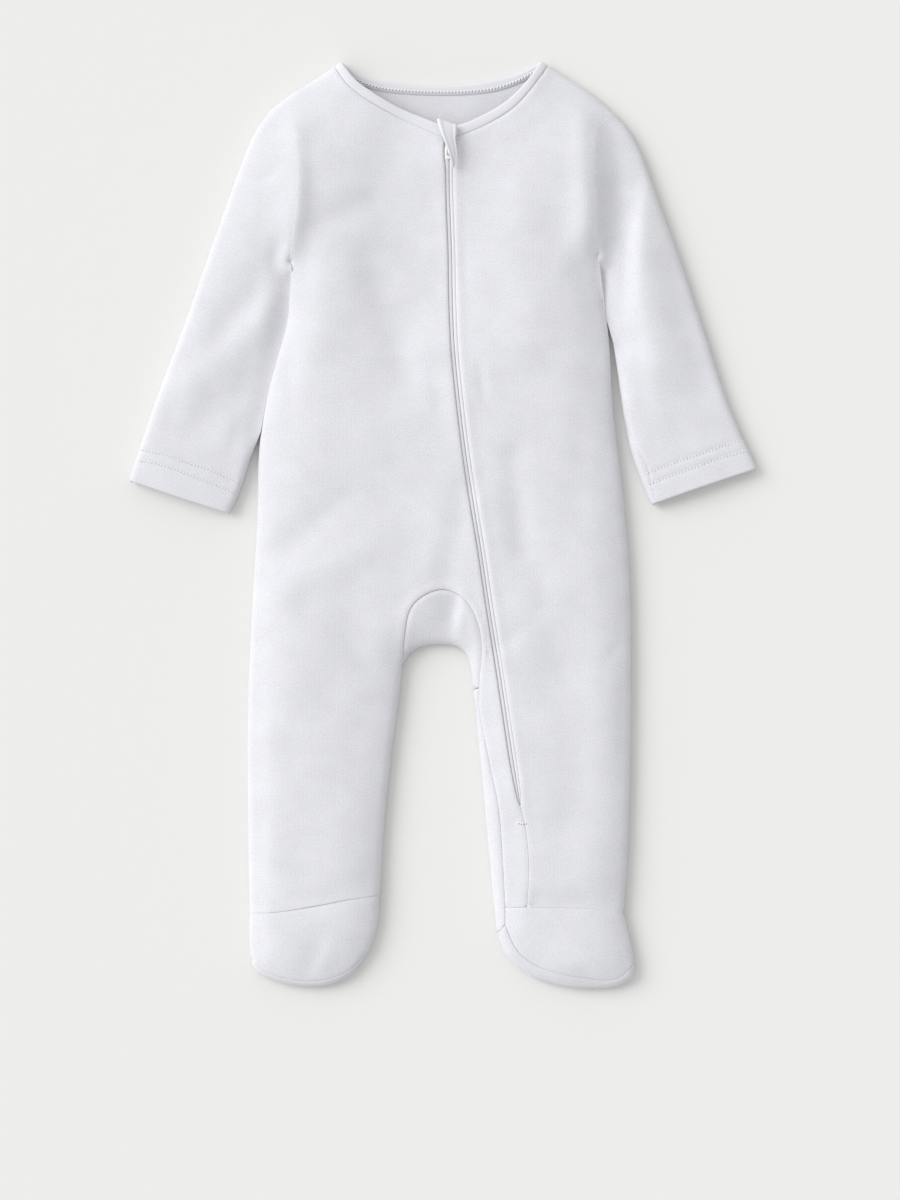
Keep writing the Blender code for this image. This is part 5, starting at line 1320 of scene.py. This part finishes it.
def build_garage(material):
    """The leaf-shaped flap, with a roll at its fold and a seam beside its free edge."""
    def ridge(middle, width):
        return np.exp(-((across - middle) / width) ** 2)

    surface, normals, across = garage_surface(34, 18)
    edge = np.minimum(across, 1.0 - across)
    half = GARAGE_CLOTH / 2 * np.sqrt(1.0 - (1.0 - np.clip(edge / 0.11, 0.0, 1.0)) ** 2)
    relief = (GARAGE_FOLD * ridge(0.12, 0.11) + GARAGE_RIM * ridge(0.9, 0.06)
              - GARAGE_GROOVE * ridge(0.77, 0.05))
    upper = surface + normals * (half + relief + 0.03)[None, :, None]
    lower = surface - normals * (half + 0.06)[None, :, None]
    rings = np.concatenate([upper, lower[:, ::-1]], axis=1)
    mesh = tube_mesh("zip_flap", rings)
    return add_piece("zip_flap", mesh, material, "garment", ("zip_garage",), sharp=70.0)


def slider_place():
    """The slider's own axes: on the cloth's face at its middle, pitched to the cloth's slope."""
    middle = np.array([SLIDER_MIDDLE])
    ahead = np.array([(0.0, SLIDER_LENGTH / 2)])
    face = float(smooth_top(middle)[0])
    rise = float(smooth_top(middle + ahead)[0] - smooth_top(middle - ahead)[0])
    pitch = math.atan2(rise, SLIDER_LENGTH)
    return Matrix.Translation(Vector((*SLIDER_MIDDLE, face)) * MM) @ Matrix.Rotation(pitch, 4, "X")


def slab_rings(outline, low, high, rounding):
    """Rings of a flat plate with rounded edges, from its outline."""
    normals = inward_normals(outline)
    inward = unit(normals + np.roll(normals, 1, axis=0))
    rings = []
    for turn in np.linspace(0.0, math.pi / 2, 4):
        rings.append((rounding * (1.0 - math.sin(turn)), low + rounding * (1.0 - math.cos(turn))))
    rings += [(inset, low + high - z) for inset, z in reversed(rings)]
    return [np.column_stack([outline + inward * inset, np.full(len(outline), z)])
            for inset, z in rings]


def soft_outline(corners, rounding):
    """A closed outline through the corners, each rounded off."""
    corners = np.array(corners, float)
    points = []
    neighbours = np.roll(corners, 1, axis=0), np.roll(corners, -1, axis=0)
    for before, at, after in zip(neighbours[0], corners, neighbours[1]):
        start, end = at + unit(before - at) * rounding, at + unit(after - at) * rounding
        for share in np.linspace(0.0, 1.0, CORNER_TURNS):
            points.append((1 - share) ** 2 * start + 2 * share * (1 - share) * at
                          + share ** 2 * end)
    return np.array(points)


def joined_mesh(name, parts):
    """One mesh from several closed meshes."""
    bm = bmesh.new()
    for part in parts:
        bm.from_mesh(part)
        bpy.data.meshes.remove(part)
    mesh = bpy.data.meshes.new(name)
    bm.to_mesh(mesh)
    bm.free()
    return mesh


# Heights of the slider's plates and pin over the cloth's face
PLATE_LOW = SLIDER_CLEARANCE - TAPE_DROP
PLATE_FACE = PLATE_LOW + SLIDER_PLATE
LOWER_HIGH = -TAPE_DROP - TAPE_CLOTH - SLIDER_CLEARANCE
LOWER_FACE = LOWER_HIGH - SLIDER_PLATE
PIN_HEIGHT = PLATE_FACE + EAR_HEIGHT - PIN_SIZE / 2 - PIN_COVER


def build_slider(material):
    """Two rounded plates, the post between them, and the two ears and the pin of its bridge."""
    half, foot = SLIDER_WIDTH / 2, SLIDER_WIDTH / 2 * SLIDER_FOOT_SHARE
    long = SLIDER_LENGTH / 2
    plate = soft_outline([(-foot, -long), (foot, -long), (half, long * 0.5), (half * 0.8, long),
                          (0.0, long * 0.82), (-half * 0.8, long), (-half, long * 0.5)],
                         PLATE_CORNER)
    parts = [tube_mesh("upper", slab_rings(plate, PLATE_LOW, PLATE_FACE, PLATE_ROUNDING)),
             tube_mesh("lower", slab_rings(plate, LOWER_FACE, LOWER_HIGH, PLATE_ROUNDING))]
    post = soft_outline([(-0.55, long - 2.6), (0.55, long - 2.6), (0.7, long - 0.8),
                         (-0.7, long - 0.8)], 0.35)
    parts.append(tube_mesh("post", slab_rings(post, LOWER_HIGH - POST_SINK, PLATE_LOW + POST_SINK,
                                              0.1)))
    for side in (-1.0, 1.0):
        ear_x = side * (PULL_EYE_WIDTH / 2 + PULL_PLAY + EAR_WIDTH / 2)
        low, top, reach = PLATE_FACE - EAR_SINK, PLATE_FACE + EAR_HEIGHT, EAR_LENGTH / 2
        ear = soft_outline([(-reach, low), (reach, low), (reach * EAR_TAPER, top),
                            (-reach * EAR_TAPER, top)], 0.8)
        rings = slab_rings(ear, ear_x - EAR_WIDTH / 2, ear_x + EAR_WIDTH / 2, 0.25)
        parts.append(tube_mesh("ear", [ring[:, (2, 0, 1)] for ring in rings]))    # stood upright
    u, v = profile_round(14, 2.0)
    reach = PULL_EYE_WIDTH / 2 + PULL_PLAY + PIN_SINK
    parts.append(tube_mesh("pin", [
        np.column_stack([np.full(len(u), x), u * PIN_SIZE / 2, PIN_HEIGHT + v * PIN_SIZE / 2])
        for x in np.linspace(-reach, reach, 4)]))
    mesh = joined_mesh("slider_body", parts)
    mesh.transform(SLIDER_PLACE)
    return add_piece("slider_body", mesh, material, "garment", ("zip_slider",),
                     sharp=40.0)


def build_pull(material):
    """The pull tab: a ring round the pin, a neck and a rounded blade, all in one piece."""
    outer = (PIN_SIZE + 2 * PULL_PLAY) / 2 + PULL_THICKNESS / 2
    middle_radius = outer - PULL_THICKNESS / 4
    u, v = profile_round(10, 2.4)
    rings = []
    for angle in np.linspace(0.0, 2 * np.pi, 29)[:-1]:
        c, s = math.cos(angle), math.sin(angle)
        radius = middle_radius + v * PULL_THICKNESS / 4
        rings.append(np.column_stack([u * PULL_EYE_WIDTH / 2, radius * c, radius * s]))
    eye = ring_mesh("eye", rings)
    wide = PULL_WIDTH / 2
    side = [(0.9, outer - PULL_THICKNESS / 2), (1.0, outer + 1.4),
            (wide * 0.8, outer + PULL_NECK + 0.4), (wide, PULL_LENGTH - 1.2),
            (wide * 0.6, PULL_LENGTH)]
    outline = soft_outline([(-x, y) for x, y in side] + side[::-1], 0.35)
    blade = tube_mesh("blade", slab_rings(outline, -PULL_THICKNESS / 2, PULL_THICKNESS / 2, 0.3))
    mesh = joined_mesh("pull_tab", (eye, blade))
    mesh.transform(SLIDER_PLACE @ Matrix.Translation(Vector((0.0, 0.0, PIN_HEIGHT * MM))))
    return add_piece("pull_tab", mesh, material, "pull", ("zip_pull",), sharp=40.0)


def ring_mesh(name, rings):
    """A closed ring from sections that run right round it."""
    rings = np.asarray(rings)
    turns, count = rings.shape[:2]
    faces = []
    for i in range(turns):
        here, after = i * count, (i + 1) % turns * count
        for k in range(count):
            ahead = (k + 1) % count
            faces.append((here + k, after + k, after + ahead, here + ahead))
    return facing_out(mesh_from(name, rings.reshape(-1, 3), faces))


# ---- materials ---------------------------------------------------------------------------------
def new_material(name, colour, roughness, sheen, specular):
    material = bpy.data.materials.new(name)
    material.use_nodes = True
    shader = material.node_tree.nodes["Principled BSDF"]
    shader.inputs["Base Color"].default_value = (*colour, 1.0)
    shader.inputs["Roughness"].default_value = roughness
    shader.inputs["Sheen Weight"].default_value = sheen
    shader.inputs["Sheen Roughness"].default_value = 0.6
    shader.inputs["Specular IOR Level"].default_value = specular
    return material, shader


def add_node(owner, kind, **values):
    """A node in a material or a world, with its settings and inputs."""
    node = owner.node_tree.nodes.new(kind)
    for key, value in values.items():
        if hasattr(node, key) and key not in node.inputs:
            setattr(node, key, value)
        else:
            node.inputs[key].default_value = value
    return node


def math_node(owner, operation, *values):
    """The result of a sum over numbers and other nodes' results."""
    node = add_node(owner, "ShaderNodeMath", operation=operation)
    for socket, value in zip(node.inputs, values):
        if isinstance(value, (int, float)):
            socket.default_value = value
        else:
            owner.node_tree.links.new(value, socket)
    return node.outputs[0]


# Knit: how far its V stitches lean, the heights of its columns, rows and loose fibres, how far
# its tone varies, and the scale, detail and roughness of the noises (scales for UVs in mm)
KNIT_LEAN = 2.2
KNIT_COLUMNS, KNIT_ROWS, KNIT_FIBRES = 0.7, 0.22, 0.9
KNIT_TONE = 0.26
FIBRE_NOISE = (1.3, 5.0, 0.7)
PATCH_NOISE, PATCH_SHARE = (0.055, 6.0, 0.62), 0.35
LOOSE_NOISE, LOOSE_SHARE = (0.95, 2.0, 0.6), 0.65


def knit_material(name, colour, wale, course, depth):
    """Knitted cotton: columns of small V stitches, loose fibres and a slightly uneven tone."""
    material, shader = new_material(name, colour, 0.92, 0.15, 0.2)
    links = material.node_tree.links
    place = add_node(material, "ShaderNodeUVMap").outputs["UV"]

    def calculated(operation, *values):
        return math_node(material, operation, *values)

    def noise(scale, detail, roughness):
        node = add_node(material, "ShaderNodeTexNoise", Scale=scale, Detail=detail,
                        Roughness=roughness)
        links.new(place, node.inputs["Vector"])
        return node.outputs["Fac"]

    split = add_node(material, "ShaderNodeSeparateXYZ")
    links.new(place, split.inputs[0])
    across = calculated("MULTIPLY", split.outputs["X"], math.pi / wale)
    column = calculated("ABSOLUTE", calculated("SINE", across))
    along = calculated("MULTIPLY", split.outputs["Y"], 2 * math.pi / course)
    row = calculated("SINE", calculated("ADD", along, calculated("MULTIPLY", column, KNIT_LEAN)))
    stitch = calculated("ADD", calculated("MULTIPLY", column, KNIT_COLUMNS),
                        calculated("MULTIPLY", row, KNIT_ROWS))
    fibres = calculated("MULTIPLY", noise(*FIBRE_NOISE), KNIT_FIBRES)
    bump = add_node(material, "ShaderNodeBump", Strength=0.55, Distance=depth * MM)
    links.new(calculated("ADD", stitch, fibres), bump.inputs["Height"])
    links.new(bump.outputs["Normal"], shader.inputs["Normal"])
    mix = add_node(material, "ShaderNodeMix", data_type="RGBA")
    mix.inputs[6].default_value = (*[c * (1.0 - KNIT_TONE) for c in colour], 1.0)
    mix.inputs[7].default_value = (*[min(1.0, c * (1.0 + KNIT_TONE)) for c in colour], 1.0)
    patches = calculated("MULTIPLY", noise(*PATCH_NOISE), PATCH_SHARE)
    loose = calculated("MULTIPLY", noise(*LOOSE_NOISE), LOOSE_SHARE)
    links.new(calculated("ADD", patches, loose), mix.inputs[0])
    links.new(mix.outputs[2], shader.inputs["Base Color"])
    return material


def grain_material(name, colour, roughness, scale, depth):
    """A plain material with a fine uneven grain, such as thread, woven tape or enamel."""
    material, shader = new_material(name, colour, roughness, 0.0, 0.4)
    links = material.node_tree.links
    place = add_node(material, "ShaderNodeTexCoord")
    grain = add_node(material, "ShaderNodeTexNoise", Scale=scale, Detail=4.0, Roughness=0.6)
    links.new(place.outputs["Object"], grain.inputs["Vector"])
    bump = add_node(material, "ShaderNodeBump", Strength=0.5, Distance=depth * MM)
    links.new(grain.outputs["Fac"], bump.inputs["Height"])
    links.new(bump.outputs["Normal"], shader.inputs["Normal"])
    return material


# ---- the garment -------------------------------------------------------------------------------
# On the right a side fold of the torso and one of the sleeve lie together, and count once.
SEGMENTS = silhouette_segments(("sleeve_tuck_r",))
SLEEVE_SEGMENTS = silhouette_segments(("sleeve_tuck_r", "sleeve_tuck_l", "side_r", "side_l"))
SLIDER_PLACE = slider_place()
CURVES = plan_curves()

WHITE = (0.715, 0.715, 0.748)
JERSEY = knit_material("jersey_knit", WHITE, 0.8, 0.62, 0.09)
RIB = knit_material("neck_rib", WHITE, 1.15, 0.55, 0.12)
THREAD = grain_material("sewing_thread", (0.90, 0.90, 0.915), 0.7, 3000.0, 0.03)
# Dark grey painted shade: short dark marks between the stitches stand in for the shade inside the
# needle holes.
SHADE = grain_material("needle_hole_shade", (0.30, 0.30, 0.32), 0.9, 3000.0, 0.03)
TAPE = grain_material("zip_tape_cloth", (0.74, 0.74, 0.765), 0.75, 2200.0, 0.05)
COIL = grain_material("zip_coil_plastic", (0.82, 0.82, 0.84), 0.45, 900.0, 0.02)
ENAMEL = grain_material("slider_enamel", (0.88, 0.87, 0.84), 0.38, 700.0, 0.015)

# Rows of stitches
NECK_INSET = 1.75                  # from the band's sewn edge
NECK_PITCH = 2.0
NECK_SLANT = math.radians(64.0)
CUFF_PITCH = 2.05
CUFF_SLANT = math.radians(10.0)
TACK_PITCH = 1.5
TACK_SLANT = math.radians(75.0)
BAR_TACK = ((44.2, -178.9), (47.6, -179.3), (51.4, -178.8))    # closes the zip's foot: x, y
CUFF_ROWS = {    # twin-needle rows on each sleeve, from the outer fold to the inner one: x, y
    "right": (((-184.5, 45.9), (-169.8, 42.6), (-157.8, 38.7), (-145.8, 34.8), (-133.8, 30.0),
               (-124.2, 25.8), (-119.0, 23.4)),
              ((-187.5, 39.4), (-171.6, 36.6), (-160.8, 33.0), (-148.8, 28.2), (-136.8, 24.0),
               (-128.4, 20.4), (-121.0, 17.0))),
    "left": (((183.5, 51.8), (169.2, 48.0), (157.2, 43.5), (145.2, 39.6), (133.2, 35.1),
              (129.0, 33.6), (114.0, 28.6)),
             ((186.5, 45.6), (169.2, 41.1), (157.2, 36.9), (145.2, 32.4), (133.2, 28.2),
              (130.2, 27.0), (116.0, 21.8))),
}
UNDERARM_SEAM = ((109.6, 60.0), (112.2, 54.0), (118.2, 43.8), (123.0, 34.8), (124.8, 27.0),
                 (127.6, 14.4))

# Each cloth piece: its node, the turn of its grain, its cut as it shows (width, length and area in
# metres; a sleeve, gusset or sole all the way round) and what it lies on.
LAID_CLOTH = {
    "cloth_back": ("back", 0.0, 0.236, 0.523, 0.0928, ()),
    "cloth_front_right": ("front_right", 0.0, 0.172, 0.511, 0.0530, ("cloth_back",)),
    "cloth_front_left": ("front_left", 0.0, 0.116, 0.511, 0.0411, ("cloth_back",)),
    "cloth_gusset": ("gusset", 0.0, 0.057, 0.101, 0.0036, ()),
    "cloth_sleeve_right": ("sleeve_right", -0.33, 0.150, 0.242, 0.0266, ()),
    "cloth_sleeve_left": ("sleeve_left", 0.30, 0.142, 0.236, 0.0240, ()),
    "cloth_foot_right": ("foot_upper_right", 0.0, 0.080, 0.055, 0.0034, ("cloth_sole_right",)),
    "cloth_foot_left": ("foot_upper_left", 0.0, 0.079, 0.048, 0.0030, ("cloth_sole_left",)),
    "cloth_sole_right": ("sole_right", 0.0, 0.081, 0.102, 0.0064, ()),
    "cloth_sole_left": ("sole_left", 0.0, 0.084, 0.104, 0.0067, ()),
}
# Rows that are drawn into a sleeve: each one's line, and where points are set beside it
FEATURES = {f"sleeve_{end}": [(smooth_line(row)[::6], (-1.4, -0.7, 0.0, 0.7, 1.4)) for row in rows]
            for end, rows in CUFF_ROWS.items()}
FEATURES["sleeve_left"].append((smooth_line(UNDERARM_SEAM)[::6], (-1.2, -0.5, 0.0, 0.5, 1.2)))

for piece, (node, grain, cut_width, cut_length, cut_area, under) in LAID_CLOTH.items():
    hem = {"sleeve_right": CURVES["cuff_r"], "sleeve_left": CURVES["cuff_l"]}.get(node)
    mesh = cloth_mesh(piece, CLOTH_PIECES[node], hem, FEATURES.get(node, ()), grain)
    cloth = add_piece(piece, mesh, JERSEY, "garment", (node,))

band = build_band(RIB)
for piece, side in (("tape_right", -1.0), ("tape_left", 1.0)):
    tape = build_tape(piece, side, TAPE)
build_teeth(COIL)
flap = build_garage(JERSEY)
build_slider(ENAMEL)
build_pull(ENAMEL)
add_threads("neck_threads", neck_stitches(0.02, 1.7), 0.40, THREAD)
# Short dark marks between the neck threads: painted shade of the needle holes.
add_threads("neck_needle_holes", neck_stitches(-0.10, 0.8, NECK_PITCH / 2), 0.19, SHADE)
for end in CUFF_ROWS:
    threads = cuff_stitches(end, -0.12, 1.4, CUFF_SLANT)
    add_threads(f"cuff_threads_{end}", threads, 0.27, THREAD)
    # Short dark marks between the cuff threads: painted shade of the needle holes.
    hole_shade = cuff_stitches(end, -0.42, 0.55, 0.0, CUFF_PITCH / 2)
    add_threads(f"cuff_needle_holes_{end}", hole_shade, 0.24, SHADE)
tack = along_surface(smooth_line(BAR_TACK)[::6], TOP, 0.10)
add_threads("bar_tack", spaced(*tack, TACK_PITCH, 1.4, TACK_SLANT), 0.36, THREAD)
# Short dark marks between the tack's threads: painted shade of its needle holes.
add_threads("bar_tack_hole_shade", spaced(*tack, TACK_PITCH, 1.0, TACK_SLANT, TACK_PITCH / 2), 0.28,
            SHADE)

# ---- floor, light and camera -------------------------------------------------------------------
FLOOR_HALF, FLOOR_TOP = 3.0, -0.0002     # metres
SUN_FROM = (-1.32, 0.58, 1.0)            # the key light comes from the upper left
SUN_STRENGTH, SUN_WIDTH = 1.62, 38.0
SKY_FROM = (-0.72, 0.62, 0.0)            # side from which the soft light is brighter
SKY_LEVEL, SKY_LEAN = 0.778, 0.42
CAMERA_PLACE = (0.0042, -0.045, 1.9)     # metres
VIEW_HALF, VIEW_DISTANCE = 0.36, 1.89    # half the height seen, and the distance at which

floor_mesh = bpy.data.meshes.new("studio_floor")
floor_mesh.from_pydata([(x * FLOOR_HALF, y * FLOOR_HALF, FLOOR_TOP)
                        for x, y in ((-1, -1), (1, -1), (1, 1), (-1, 1))], [], [(0, 1, 2, 3)])
floor = bpy.data.objects.new("studio_floor", floor_mesh)
bpy.context.scene.collection.objects.link(floor)
floor_mesh.materials.append(grain_material("pale_floor", (0.80, 0.80, 0.775), 0.9, 40.0, 0.2))

sun_data = bpy.data.lights.new("key", "SUN")
sun_data.energy = SUN_STRENGTH
sun_data.angle = math.radians(SUN_WIDTH)
sun = bpy.data.objects.new("key", sun_data)
sun.rotation_euler = Vector(SUN_FROM).to_track_quat("Z", "Y").to_euler()
bpy.context.scene.collection.objects.link(sun)

world = bpy.data.worlds.new("studio")
bpy.context.scene.world = world
world.use_nodes = True
sky = world.node_tree.nodes["Background"]
sky.inputs["Color"].default_value = (0.985, 0.99, 1.0, 1.0)
facing = add_node(world, "ShaderNodeTexCoord")
toward = add_node(world, "ShaderNodeVectorMath", operation="DOT_PRODUCT")
toward.inputs[1].default_value = SKY_FROM
world.node_tree.links.new(facing.outputs["Generated"], toward.inputs[0])
level = math_node(world, "MULTIPLY_ADD", toward.outputs["Value"], SKY_LEVEL * SKY_LEAN, SKY_LEVEL)
world.node_tree.links.new(level, sky.inputs["Strength"])
bpy.context.scene.view_settings.view_transform = "Standard"

camera_data = bpy.data.cameras.new("camera")
camera = bpy.data.objects.new("camera", camera_data)
camera_data.sensor_fit = "VERTICAL"
camera_data.angle = 2 * math.atan(VIEW_HALF / VIEW_DISTANCE)
camera_data.clip_end = 20.0
camera.location = CAMERA_PLACE
bpy.context.scene.collection.objects.link(camera)
bpy.context.scene.camera = camera

bpy.context.view_layer.update()
